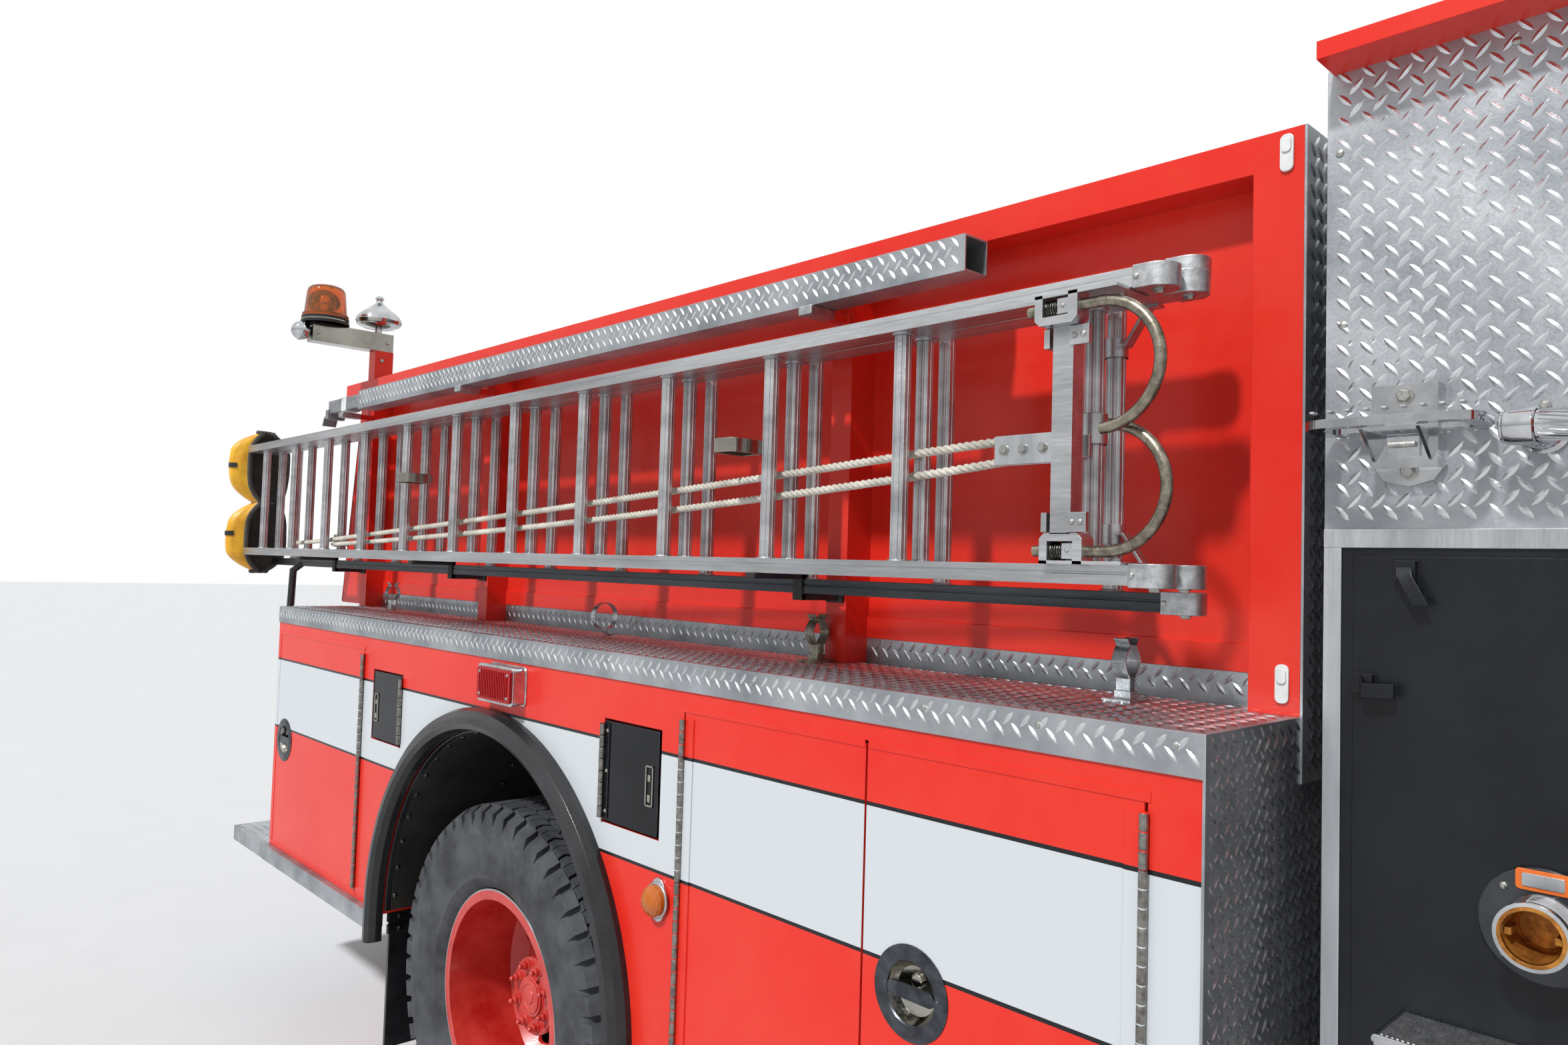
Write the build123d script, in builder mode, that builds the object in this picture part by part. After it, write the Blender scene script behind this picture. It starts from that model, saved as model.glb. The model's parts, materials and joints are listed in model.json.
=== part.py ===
from build123d import *
from math import cos, radians, sin
import os

# Fire engine of the pumper type: custom canopy cab, midship pump, rear body with
# side compartments, a hose bed between high sides and two ground ladders on the right.
# Millimetres. X is forward, Y to the vehicle's left, Z up, and the ground is Z = 0.
# X = 0 is the front end of the rear body.

# Overall sizes
half_width = 1219.0
rear_reach = 4480.0
front_reach = 4480.0
gap = 5.0
seat_gap = 0.3

# Wheels and axles
rear_axle_x = -1948.0
front_axle_x = 2752.0
tyre_r = 525.0
tyre_width = 279.0
rim_flange_r = 298.5
rim_bead_r = 284.0
rim_sheet = 12.0
dual_outer_y = 1059.0
dual_spacing = 325.0
front_tyre_y = 1015.0
front_disc_reach = 135.0
disc_face_r = 172.0
hand_hole_r = 27.0
hand_hole_circle_r = 222.0
hand_hole_count = 5
tyre_base_share = 0.70
shoulder_drop = 22.0
kingpin_y = 905.0
kingpin_r = 20.0
kingpin_boss_r = 42.0
eye_half = 70.0
ear_half = 40.0
ear_thick = 34.0
web_reach = 50.0
web_thick = 16.0
hub_r = 95.0
drum_r = 200.0
axle_flange_r = 101.0
axle_flange_thick = 15.0
hub_cap_r = 52.0
hub_cap_thick = 7.0
hub_inset = 110.0
front_hub_r = 70.0
front_hub_reach = 55.0
front_drum_r = 155.0
spindle_r = 38.0
spindle_nose = 20.0
pin_fit = 0.25

# Chassis
rail_outer_y = 432.0
rail_flange = 76.0
rail_web = 10.0
rail_low_z = 720.0
rail_depth = 254.0
rail_rear_x = -3600.0
cross_depth = 105.0
cross_half = 40.0
cross_end = 100.0
body_beam_height = 80.0
pump_beam_height = 20.0
shaft_r = 45.0
joint_flange_r = 62.0
spring_width = 76.0
spring_length = 1300.0
spring_thick = 60.0
spring_tip = 18.0
hanger_reach = 50.0
front_camber = 70.0
rear_camber = 50.0
axle_low = 55.0
axle_high = 45.0
axle_tube = 65.0
diff_r = 190.0

# Rear body
body_rear_x = -3633.0
body_low_z = 612.0
deck_z = 1508.0
sheet = 4.0
lip_low_z = 1448.0
body_inner_y = 569.0
body_wall = 30.0
well_r = 640.0
well_z = 625.0
door_thick = 45.0
door_low_z = 623.0
door_top_z = 1412.0
door_land = 20.0
hinge_r = 6.0
hinge_lift = 0.5
hinge_leaf = 2.5

# High sides of the hose bed
wall_outer_y = 914.0
wall_recess = 75.0
wall_thick = 30.0
wall_top_z = 2424.0
wall_flange = 60.0
wall_rear_low_x = -4030.0
wall_rear_top_x = -3890.0
front_post = 75.0
post_half = 30.0
post_xs = (-980.0, -2610.0, -3620.0)
hose_floor_z = 1740.0
bed_sheet = 30.0
divider_y = 200.0
divider_thick = 6.0
kick_strip = 100.0

# Tailboard
tail_rear_x = -4063.0
tail_top_z = 596.0
tail_thick = 56.0
tail_front_x = -3500.0
rub_rail_low_z = 557.0
rub_rail_proud = 22.0

# Pump house
pump_rear_x = 69.0
pump_front_x = 1250.0
pump_y = 1001.0
pump_low_z = 720.0
pump_top_z = 2454.0
pump_seam_z = 1787.0
pump_wall = 40.0
panel_thick = 6.0
top_rail_reach = 68.0
top_rail_setback = 9.0
top_rail_lip = 8.0
top_rail_thick = 18.0
step_reach = 118.0
step_length = 211.0
step_thick = 12.0
step_rim = 22.0
step_corner = 40.0

# Front bumper
bumper_depth = 80.0
bumper_z = (560.0, 860.0)
bumper_wall = 8.0
bumper_stand_off = 330.0
rail_front_x = front_reach - bumper_depth

# Cab
cab_rear_x = 1330.0
cab_front_x = front_reach - bumper_stand_off
cab_half = 1190.0
cab_low_z = 560.0
cab_floor_z = 1060.0
cab_floor_thick = 40.0
cab_roof_z = 2600.0
cab_wall = 50.0
cab_belt_z = 1500.0
screen_lean = 110.0
cab_top_front_x = cab_front_x - screen_lean
arch_r = 640.0
arch_lip = 55.0
arch_flare = 15.0
arch_inner_y = 585.0
cab_corner_r = 45.0
crew_front_x = 2120.0
cab_door_rear_x = 3080.0
door_post = 140.0
cab_door_front_x = cab_front_x - door_post
cab_door_low_z = 640.0
cab_door_top_z = 2400.0
window_low_z = 1560.0
window_top_z = 2330.0
window_rear_frame = 90.0
window_front_frame = 110.0
crew_post = 90.0
arch_back = 25.0
glass_thick = 6.0
seat_base_z = 1222.0
cushion_top_z = 1360.0
back_top_z = 2000.0
back_thick = 100.0
seat_corner = 35.0
front_seat_x = (cab_front_x - 1300, cab_front_x - 800)
crew_seat_x = (1500.0, 1950.0)
front_seat_y = (580.0, 1080.0)
crew_seat_y = (600.0, 1080.0)
plinth_inset = 40.0
engine_cover = 30.0
cover_half = 470.0
cover_top_z = 1540.0
cover_setback = 400.0

# Ladders, 14 in rung spacing
rung_pitch = 355.6
rung_r = 16.0
end_clear = 60.0
roof_first_rung_x = -263.0
fly_first_rung_x = -203.0
roof_ladder_y = 1129.0
ladder_depth = 60.0
beam_height = 30.0
ladder_low_z = 1715.0
ladder_top_z = 2160.0
ladder_front_x = -75.0
cover_depth = 110.0
bed_lag = 30.0
ladder_length = rear_reach - cover_depth + ladder_front_x - bed_lag
fly_ladder_y = 1066.0
bed_ladder_y = 1000.0
bed_extra = 41.0
hook_x = -215.0
hook_tube_r = 9.0
hook_radius = 96.0
hook_y = 1158.0
hook_spread = 24.0
hook_sweep = 88.0
hook_bar = 43.0
shank_inset = 35.0
shank_tail = 95.0
shank_nose = 30.0
casting_length = 75.0
casting_half = 18.0
beam_cap_length = 50.0
beam_cap_half = 18.0

os.makedirs("parts", exist_ok=True)


def write(piece, name):
    """Labels a finished piece and writes it."""
    piece.part.label = name
    export_step(piece.part, f"parts/{name}.step")


def block(x, y, z, mode=Mode.ADD):
    """A block between a low and a high value on each axis."""
    centre = [(pair[0] + pair[1]) / 2 for pair in (x, y, z)]
    size = [abs(pair[1] - pair[0]) for pair in (x, y, z)]
    with Locations(tuple(centre)):
        Box(*size, mode=mode)


def rod(start, end, radius, mode=Mode.ADD):
    """A round bar from one point to another."""
    axis = Vector(*end) - Vector(*start)
    with BuildSketch(Plane(origin=start, z_dir=axis)) as disc:
        Circle(radius)
    extrude(disc.sketch, amount=axis.length, mode=mode)


def turned(points, x, z, mode=Mode.ADD):
    """Turns a closed outline of (y, radius) points about the cross axis at x, z."""
    with BuildSketch(Plane(origin=(x, 0, z), x_dir=(0, 1, 0), z_dir=(1, 0, 0))) as profile:
        with BuildLine():
            Polyline(*points, close=True)
        make_face()
    revolve(profile.sketch, axis=Axis((x, 0, z), (0, 1, 0)), mode=mode)


def spun(points, x, y, mode=Mode.ADD):
    """Turns a closed outline of (radius, z) points about the upright axis at x, y."""
    with BuildSketch(Plane(origin=(x, y, 0), x_dir=(1, 0, 0), z_dir=(0, -1, 0))) as profile:
        with BuildLine():
            Polyline(*points, close=True)
        make_face()
    revolve(profile.sketch, axis=Axis((x, y, 0), (0, 0, 1)), mode=mode)


def side_plate(points, y_low, y_high, mode=Mode.ADD):
    """Extrudes an outline of (x, z) points between two y values."""
    with BuildSketch(Plane(origin=(0, y_low, 0), x_dir=(1, 0, 0), z_dir=(0, -1, 0))) as profile:
        with BuildLine():
            Polyline(*points, close=True)
        make_face()
    extrude(profile.sketch, amount=y_low - y_high, mode=mode)


def tyre(side, centre_y, x):
    """A tyre ring, its bore just clear of the rim."""
    half = tyre_width / 2
    bore = rim_bead_r + seat_gap
    wall = (
        (tyre_base_share, bore),
        (tyre_base_share, rim_flange_r + 2),
        (0.90, rim_flange_r + 25),
        (0.98, rim_flange_r + 65),
        (1.00, tyre_r - 105),
        (0.97, tyre_r - 60),
        (0.90, tyre_r - shoulder_drop),
        (0.78, tyre_r),
    )
    outline = [(-share * half, r) for share, r in wall]
    outline += [(share * half, r) for share, r in reversed(wall)]
    turned([(side * centre_y + y, r) for y, r in outline], x, tyre_r)


def rim(side, centre_y, x, disc_y):
    """A dished disc wheel: barrel with two flanges, and a disc that mates at disc_y."""
    half = tyre_width / 2
    seat = half * tyre_base_share + seat_gap
    flange = rim_flange_r - rim_bead_r
    outer = rim_bead_r
    barrel = (
        (-seat - rim_sheet, outer - rim_sheet),
        (-seat - rim_sheet, outer + flange),
        (-seat, outer + flange),
        (-seat, outer),
        (seat, outer),
        (seat, outer + flange),
        (seat + rim_sheet, outer + flange),
        (seat + rim_sheet, outer - rim_sheet),
    )
    turned([(side * centre_y + side * y, r) for y, r in barrel], x, tyre_r)
    toward = 1 if disc_y > centre_y else -1
    join_y = centre_y + toward * (seat - rim_sheet)
    bulge_y = disc_y + (join_y - disc_y) * 0.35
    bulge_r = disc_face_r + (outer - disc_face_r) * 0.62
    dish = (
        (disc_y, 0),
        (disc_y, disc_face_r),
        (bulge_y, bulge_r),
        (join_y, outer - rim_sheet / 2),
        (join_y + rim_sheet, outer - rim_sheet / 2),
        (bulge_y + rim_sheet, bulge_r),
        (disc_y + rim_sheet, disc_face_r),
        (disc_y + rim_sheet, 0),
    )
    turned([(side * y, r) for y, r in dish], x, tyre_r)
    low, high = sorted((disc_y, join_y))
    for hole in range(hand_hole_count):
        angle = radians(90 + hole * 360 / hand_hole_count)
        hole_x = x + hand_hole_circle_r * cos(angle)
        hole_z = tyre_r + hand_hole_circle_r * sin(angle)
        rod((hole_x, side * (low - rim_sheet), hole_z), (hole_x, side * (high + 2 * rim_sheet), hole_z),
            hand_hole_r, Mode.SUBTRACT)


# Wheels: front single and rear twin on each side
for side, hand in ((-1, "right"), (1, "left")):
    with BuildPart() as front_rim:
        disc_y = front_tyre_y + front_disc_reach
        rim(side, front_tyre_y, front_axle_x, disc_y)
        hub_low = side * (kingpin_y + web_reach + web_thick + gap)
        hub_high = side * (disc_y + front_hub_reach)
        turned([(hub_low, 0), (hub_low, front_drum_r), (side * disc_y, front_drum_r),
                (side * disc_y, hub_r), (hub_high, front_hub_r), (hub_high, 0)],
               front_axle_x, tyre_r)
        rod((front_axle_x, hub_low - side * 5, tyre_r),
            (front_axle_x, side * (disc_y + spindle_nose), tyre_r), spindle_r + pin_fit, Mode.SUBTRACT)
    write(front_rim, f"front_rim_{hand}")

    with BuildPart() as front_tyre:
        tyre(side, front_tyre_y, front_axle_x)
    write(front_tyre, f"front_tyre_{hand}")

    with BuildPart() as rear_rims:
        mid_y = dual_outer_y - dual_spacing / 2
        inner_y = dual_outer_y - dual_spacing
        rim(side, dual_outer_y, rear_axle_x, mid_y)
        rim(side, inner_y, rear_axle_x, mid_y - rim_sheet)
        hub_low = side * (inner_y - hub_inset)
        flange_low = side * (dual_outer_y - axle_flange_thick)
        flange_high = side * dual_outer_y
        cap_high = side * (dual_outer_y + hub_cap_thick)
        turned([(hub_low, 0), (hub_low, drum_r), (side * (mid_y - rim_sheet), drum_r),
                (side * mid_y, hub_r), (flange_low, hub_r), (flange_low, axle_flange_r),
                (flange_high, axle_flange_r), (flange_high, hub_cap_r), (cap_high, hub_cap_r),
                (cap_high, 0)], rear_axle_x, tyre_r)
        rod((rear_axle_x, hub_low - side * 5, tyre_r),
            (rear_axle_x, side * mid_y, tyre_r), spindle_r + pin_fit, Mode.SUBTRACT)
    write(rear_rims, f"rear_rims_{hand}")

    with BuildPart() as rear_tyres:
        tyre(side, dual_outer_y, rear_axle_x)
        tyre(side, dual_outer_y - dual_spacing, rear_axle_x)
    write(rear_tyres, f"rear_tyres_{hand}")

    # Steering knuckle: two ears on the kingpin, a web and the wheel's spindle
    with BuildPart() as knuckle:
        ear_low = tyre_r - eye_half - gap - ear_thick
        ear_high = tyre_r + eye_half + gap
        web_in = kingpin_y + web_reach
        for low in (ear_low, ear_high):
            block((front_axle_x - ear_half, front_axle_x + ear_half),
                  (side * (kingpin_y - ear_half), side * web_in), (low, low + ear_thick))
        block((front_axle_x - ear_half, front_axle_x + ear_half),
              (side * web_in, side * (web_in + web_thick)), (ear_low, ear_high + ear_thick))
        rod((front_axle_x, side * kingpin_y, ear_low),
            (front_axle_x, side * kingpin_y, ear_high + ear_thick), kingpin_r)
        rod((front_axle_x, side * web_in, tyre_r),
            (front_axle_x, side * (front_tyre_y + front_disc_reach / 2), tyre_r), spindle_r)
    write(knuckle, f"steering_knuckle_{hand}")

# Frame rails, crossmembers and the outriggers that carry the body
rail_top_z = rail_low_z + rail_depth
cross_xs = (-3520.0, -2650.0, -1250.0, 250.0, 1500.0)
body_beam_xs = (-3450.0, -2700.0, -1180.0, -120.0)
cab_mount_inset = 100.0
cab_mount_width = 60.0
with BuildPart() as chassis_frame:
    for side in (-1, 1):
        block((rail_rear_x, rail_front_x), (side * (rail_outer_y - rail_flange), side * rail_outer_y),
              (rail_low_z, rail_top_z))
        block((rail_rear_x - 1, rail_front_x + 1),
              (side * (rail_outer_y - rail_flange - 1), side * (rail_outer_y - rail_web)),
              (rail_low_z + rail_web, rail_top_z - rail_web), Mode.SUBTRACT)
    for cross_x in (*cross_xs, rail_front_x - cross_end):
        block((cross_x - cross_half, cross_x + cross_half),
              (-rail_outer_y + rail_web / 2, rail_outer_y - rail_web / 2),
              (rail_top_z - cross_depth, rail_top_z - rail_web / 2))
    for beam_x in body_beam_xs:
        block((beam_x - cross_half, beam_x + cross_half), (-body_inner_y, body_inner_y),
              (rail_top_z, rail_top_z + body_beam_height))
    for beam_x in (pump_rear_x + pump_wall / 2, pump_front_x - pump_wall / 2):
        block((beam_x - pump_wall / 2, beam_x + pump_wall / 2), (-body_inner_y, body_inner_y),
              (rail_top_z, rail_top_z + pump_beam_height))
    for mount_x in (cab_rear_x + cab_mount_inset, cab_top_front_x):
        for side in (-1, 1):
            block((mount_x - cross_half, mount_x + cross_half),
                  (side * (rail_outer_y - cab_mount_width), side * (rail_outer_y - rail_web / 2)),
                  (rail_top_z, cab_floor_z - cab_floor_thick))
write(chassis_frame, "chassis_frame")


def leaf_spring(x, y, camber, seat_z):
    """A bowed leaf pack under its rail, resting on the axle at seat_z, with a hanger at each end."""
    half = spring_length / 2
    tip_z = seat_z + camber
    with BuildSketch(Plane(origin=(0, y - spring_width / 2, 0), x_dir=(1, 0, 0), z_dir=(0, -1, 0))) as pack:
        with BuildLine():
            ThreePointArc((x - half, tip_z), (x, seat_z), (x + half, tip_z))
            Line((x + half, tip_z), (x + half, tip_z + spring_tip))
            ThreePointArc((x + half, tip_z + spring_tip), (x, seat_z + spring_thick),
                          (x - half, tip_z + spring_tip))
            Line((x - half, tip_z + spring_tip), (x - half, tip_z))
        make_face()
    extrude(pack.sketch, amount=-spring_width)
    for end in (-1, 1):
        block((x + end * (half - rail_web), x + end * (half + hanger_reach)),
              (y - spring_width / 2, y + spring_width / 2), (tip_z - spring_tip, rail_low_z))


spring_y = rail_outer_y - spring_width / 2
with BuildPart() as front_suspension:
    beam_y = kingpin_y - ear_half
    block((front_axle_x - axle_high, front_axle_x + axle_high), (-beam_y, beam_y),
          (tyre_r - axle_low, tyre_r + axle_high))
    for side in (-1, 1):
        rod((front_axle_x, side * kingpin_y, tyre_r - eye_half),
            (front_axle_x, side * kingpin_y, tyre_r + eye_half), kingpin_boss_r)
        rod((front_axle_x, side * kingpin_y, tyre_r - eye_half - gap),
            (front_axle_x, side * kingpin_y, tyre_r + eye_half + gap), kingpin_r + pin_fit, Mode.SUBTRACT)
        leaf_spring(front_axle_x, side * spring_y, front_camber, tyre_r + axle_high)
write(front_suspension, "front_suspension")

axle_tube_y = 600.0
with BuildPart() as rear_suspension:
    inner_end = dual_outer_y - dual_spacing / 2 - spindle_nose
    rod((rear_axle_x, -inner_end, tyre_r), (rear_axle_x, inner_end, tyre_r), spindle_r)
    block((rear_axle_x - axle_tube, rear_axle_x + axle_tube), (-axle_tube_y, axle_tube_y),
          (tyre_r - axle_tube, tyre_r + axle_tube))
    with Locations((rear_axle_x, 0, tyre_r)):
        Sphere(diff_r)
    for side in (-1, 1):
        leaf_spring(rear_axle_x, side * spring_y, rear_camber, tyre_r + axle_tube)
write(rear_suspension, "rear_suspension")

# Engine and pump as (x, z) spans with the half width; both hang between the rails on a cross mount
engine_x = (2300.0, cab_front_x - 650)
engine_z = (700.0, 1440.0)
engine_half = 330.0
pump_x = (500.0, 1050.0)
pump_z = (600.0, 940.0)
pump_half = 340.0
mount_z = (760.0, 840.0)
mount_half = 50.0
between_rails = rail_outer_y - rail_web - seat_gap
shaft_end = 28.0

# Shafts: rear x and z, front x and z
shaft_table = (
    (rear_axle_x + diff_r, tyre_r, pump_x[0], 790.0),
    (pump_x[1], 770.0, engine_x[0], 780.0),
)
with BuildPart() as driveline:
    for x_low, z_low, x_high, z_high in shaft_table:
        rod((x_low + shaft_end / 2, 0, z_low), (x_high - shaft_end / 2, 0, z_high), shaft_r)
        rod((x_low + seat_gap, 0, z_low), (x_low + shaft_end, 0, z_low), joint_flange_r)
        rod((x_high - shaft_end, 0, z_high), (x_high - seat_gap, 0, z_high), joint_flange_r)
write(driveline, "propeller_shafts")

for name, x_span, half, z_span in (
    ("engine_block", engine_x, engine_half, engine_z),
    ("pump", pump_x, pump_half, pump_z),
):
    with BuildPart() as unit:
        block(x_span, (-half, half), z_span)
        mount_x = x_span[0] + 0.4 * (x_span[1] - x_span[0])
        block((mount_x - mount_half, mount_x + mount_half), (-between_rails, between_rails), mount_z)
    write(unit, name)


def lower_body(side, hatches):
    """One side of the rear body: two locker spaces and the wheel well between them."""
    y_out, y_in = side * half_width, side * body_inner_y
    block((body_rear_x, 0), (y_out, y_in), (body_low_z, deck_z - sheet))
    for x_low, x_high in locker_spans:
        block((x_low, x_high), (y_out + side, side * (body_inner_y + body_wall)),
              (door_low_z + door_land, door_top_z - door_land), Mode.SUBTRACT)
        rebate = door_land + gap / 2
        block((x_low - rebate, x_high + rebate), (y_out + side, y_out - side * (door_thick + gap)),
              (door_low_z - gap, door_top_z + gap), Mode.SUBTRACT)
    well_y = (y_out + side, y_in - side)
    rod((rear_axle_x, well_y[0], well_z), (rear_axle_x, well_y[1], well_z), well_r, Mode.SUBTRACT)
    block((rear_axle_x - well_r, rear_axle_x + well_r), well_y, (body_low_z - 1, well_z), Mode.SUBTRACT)
    if hatches:
        for (x_low, x_high, z_low, z_high), hinge_x in zip(hatch_table, hatch_hinges):
            low_gap, high_gap = (hinge_leaf, gap) if hinge_x == x_low else (gap, hinge_leaf)
            block((x_low - low_gap, x_high + high_gap), (y_out + side, y_out - side * (hatch_thick + gap)),
                  (z_low - gap, z_high + gap), Mode.SUBTRACT)
            block((x_low + hatch_land, x_high - hatch_land), (y_out, y_out - side * hatch_depth),
                  (z_low + hatch_land, z_high - hatch_land), Mode.SUBTRACT)


# Locker door leaves: name, rear edge, front edge, hinge edge
door_rear_hinge_x = -2804.0
door_mid_hinge_x = -1112.0
door_split_x = -600.0
door_front_hinge_x = -81.0
door_rear_edge_x = -3612.0
door_hinge_leaf = 32.0
locker_spans = (
    (door_rear_edge_x + door_land, door_rear_hinge_x - door_land),
    (door_mid_hinge_x + door_land, door_front_hinge_x - door_land),
)
leaf_table = (
    ("locker_door_rear", door_rear_edge_x, door_rear_hinge_x, door_rear_hinge_x),
    ("locker_door_middle", door_mid_hinge_x, door_split_x, door_mid_hinge_x),
    ("locker_door_front", door_split_x, door_front_hinge_x, door_front_hinge_x),
)
# Small black hatches: rear edge, front edge, bottom, top
hatch_thick = 20.0
hatch_land = 12.0
hatch_depth = 130.0
hatch_hinge_leaf = 22.0
hatch_table = (
    (-2720.0, -2506.0, 1136.0, 1346.0),
    (-1406.0, -1194.0, 1128.0, 1352.0),
)
hatch_hinges = (-2506.0, -1406.0)

for side, hand in ((-1, "right"), (1, "left")):
    with BuildPart() as body_side:
        lower_body(side, hand == "right")
    write(body_side, f"lower_body_{hand}")
    for name, x_low, x_high, hinge_x in leaf_table:
        with BuildPart() as leaf:
            y_out = side * half_width
            block((x_low + gap / 2, x_high - gap / 2), (y_out, y_out - side * door_thick),
                  (door_low_z, door_top_z))
            toward = 1 if hinge_x == x_low else -1
            pin_y = y_out + side * (hinge_r + hinge_lift)
            hinge_z = (door_low_z + door_land, door_top_z - door_land)
            rod((hinge_x, pin_y, hinge_z[0]), (hinge_x, pin_y, hinge_z[1]), hinge_r)
            block((hinge_x, hinge_x + toward * door_hinge_leaf), (y_out, y_out + side * hinge_leaf), hinge_z)
        write(leaf, f"{name}_{hand}")

for name, spans, hinge_x in zip(("hatch_rear", "hatch_front"), hatch_table, hatch_hinges):
    x_low, x_high, z_low, z_high = spans
    with BuildPart() as hatch:
        block((x_low + gap / 2, x_high - gap / 2), (-half_width, -half_width + hatch_thick), (z_low, z_high))
        toward = 1 if hinge_x == x_low else -1
        pin_y = -half_width - hinge_r - hinge_lift
        hinge_z = (z_low + hinge_r, z_high - hinge_r)
        rod((hinge_x, pin_y, hinge_z[0]), (hinge_x, pin_y, hinge_z[1]), hinge_r)
        block((hinge_x, hinge_x + toward * hatch_hinge_leaf), (-half_width, -half_width - hinge_leaf), hinge_z)
    write(hatch, name)

# Tread-plate decks over the lockers, end faces of the body and foot strips
with BuildPart() as deck_plates:
    deck_in = wall_outer_y - wall_recess - wall_thick
    for side in (-1, 1):
        block((body_rear_x, 0), (side * deck_in, side * (half_width + sheet)), (deck_z - sheet, deck_z))
        block((body_rear_x, 0), (side * half_width, side * (half_width + sheet)), (lip_low_z, deck_z))
        block((0, sheet), (side * body_inner_y, side * (half_width + sheet)), (body_low_z, deck_z))
        block((sheet, 2 * sheet), (side * deck_in, side * wall_outer_y), (deck_z - kick_strip, wall_top_z))
        kick_y = side * (wall_outer_y - wall_recess)
        edges = (0, -front_post) + sum(((x + post_half, x - post_half) for x in post_xs), ())
        for x_high, x_low in zip(edges[1::2], edges[2::2]):
            block((x_low, x_high), (kick_y, kick_y + side * sheet), (deck_z, deck_z + kick_strip))
write(deck_plates, "tread_plate_decks")

# High sides of the hose bed, recessed between flange and posts
with BuildPart() as high_sides:
    for side in (-1, 1):
        sheet_out = side * (wall_outer_y - wall_recess)
        sheet_in = side * (wall_outer_y - wall_recess - wall_thick)
        outline = ((sheet, deck_z), (sheet, wall_top_z), (wall_rear_top_x, wall_top_z),
                   (wall_rear_low_x, deck_z))
        side_plate(outline, min(sheet_out, sheet_in), max(sheet_out, sheet_in))
        y_pair = (side * wall_outer_y, sheet_in)
        block((wall_rear_top_x, sheet), y_pair, (wall_top_z - wall_flange, wall_top_z))
        block((-front_post, sheet), y_pair, (deck_z, wall_top_z))
        for post_x in post_xs:
            block((post_x - post_half, post_x + post_half), y_pair, (deck_z, wall_top_z))
        rail_x = (pump_rear_x + top_rail_setback, pump_front_x)
        block(rail_x, (side * pump_y, side * (pump_y + top_rail_reach)),
              (pump_top_z - top_rail_lip, pump_top_z + top_rail_thick))
        block(rail_x, (side * (pump_y - pump_wall), side * pump_y), (pump_top_z, pump_top_z + top_rail_thick))
write(high_sides, "hose_bed_sides")

# Hose bed floor, its front bulkhead, rear wall of the body
rear_door_half = 400.0
rear_door_z = (1000.0, 1450.0)
rear_door_thick = 28.0
rear_hinge_leaf = 30.0
bed_beam = 30.0
bed_half = wall_outer_y - wall_recess - wall_thick
with BuildPart() as hose_bed:
    block((body_rear_x, -bed_sheet), (-bed_half, bed_half), (hose_floor_z, hose_floor_z + bed_sheet))
    block((-bed_sheet, 0), (-bed_half, bed_half), (deck_z, wall_top_z - wall_flange))
    block((body_rear_x, -bed_sheet), (-bed_half, bed_half), (deck_z - sheet, deck_z + bed_sheet))
    block((body_rear_x + 60, -bed_sheet), (divider_y - divider_thick / 2, divider_y + divider_thick / 2),
          (hose_floor_z, wall_top_z - 2 * wall_flange))
    for beam_x in (body_rear_x, body_rear_x / 2, -2 * bed_beam):
        block((beam_x, beam_x + bed_beam), (-bed_half, bed_half), (deck_z, hose_floor_z + bed_sheet / 3))
    block((body_rear_x, body_rear_x + body_wall), (-body_inner_y, body_inner_y), (body_low_z, deck_z))
    block((body_rear_x - 1, body_rear_x + body_wall + 1), (-rear_door_half - gap, rear_door_half + gap),
          (rear_door_z[0] - gap, rear_door_z[1] + gap), Mode.SUBTRACT)
write(hose_bed, "hose_bed")

with BuildPart() as rear_door:
    block((body_rear_x, body_rear_x + rear_door_thick), (-rear_door_half, rear_door_half), rear_door_z)
    pin_x = body_rear_x - hinge_r - hinge_lift
    pin_z = rear_door_z[1] + gap / 2
    hinge_half = rear_door_half - door_land
    rod((pin_x, -hinge_half, pin_z), (pin_x, hinge_half, pin_z), hinge_r)
    block((body_rear_x - hinge_leaf, body_rear_x), (-hinge_half, hinge_half),
          (rear_door_z[1] - rear_hinge_leaf, pin_z))
write(rear_door, "rear_locker_door")

with BuildPart() as tailboard:
    block((tail_rear_x, tail_front_x), (-half_width, half_width), (tail_top_z - tail_thick, tail_top_z))
    well_edge = well_r + arch_lip
    for side in (-1, 1):
        block((body_rear_x, tail_front_x),
              (side * (body_inner_y + body_wall), side * (half_width - body_wall)), (tail_top_z, body_low_z))
        for x_low, x_high in ((body_rear_x, rear_axle_x - well_edge), (rear_axle_x + well_edge, 0)):
            block((x_low, x_high), (side * (half_width - body_wall), side * (half_width + rub_rail_proud)),
                  (rub_rail_low_z, body_low_z))
write(tailboard, "tailboard")

# Rubber wheel-arch lips and mud flaps: section as (reach from the body, radius)
lip_leg = 90.0
flap_low_z = 199.0
flap_thick = 12.0
flap_inner_y = 640.0
lip_section = (
    (0, well_r - 12),
    (0, well_r + 50),
    (14, well_r + 50),
    (34, well_r + 42),
    (46, well_r + 25),
    (48, well_r + 8),
    (40, well_r - 6),
    (20, well_r - 12),
)
with BuildPart() as arch_lips:
    for side in (-1, 1):
        for end in (-1, 1):
            with BuildSketch(Plane(origin=(rear_axle_x, 0, well_z), x_dir=(0, 1, 0),
                                   z_dir=(0, 0, -end))) as section:
                with BuildLine():
                    Polyline(*[(side * (half_width + reach), r) for reach, r in lip_section], close=True)
                make_face()
            extrude(section.sketch, amount=end * lip_leg)
            if end == 1:
                revolve(section.sketch, axis=Axis((rear_axle_x, 0, well_z), (0, -1, 0)), revolution_arc=180)
        flap_x = rear_axle_x - well_r - hinge_leaf
        block((flap_x - flap_thick, flap_x), (side * flap_inner_y, side * (half_width - body_wall)),
              (flap_low_z, body_low_z))
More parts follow.
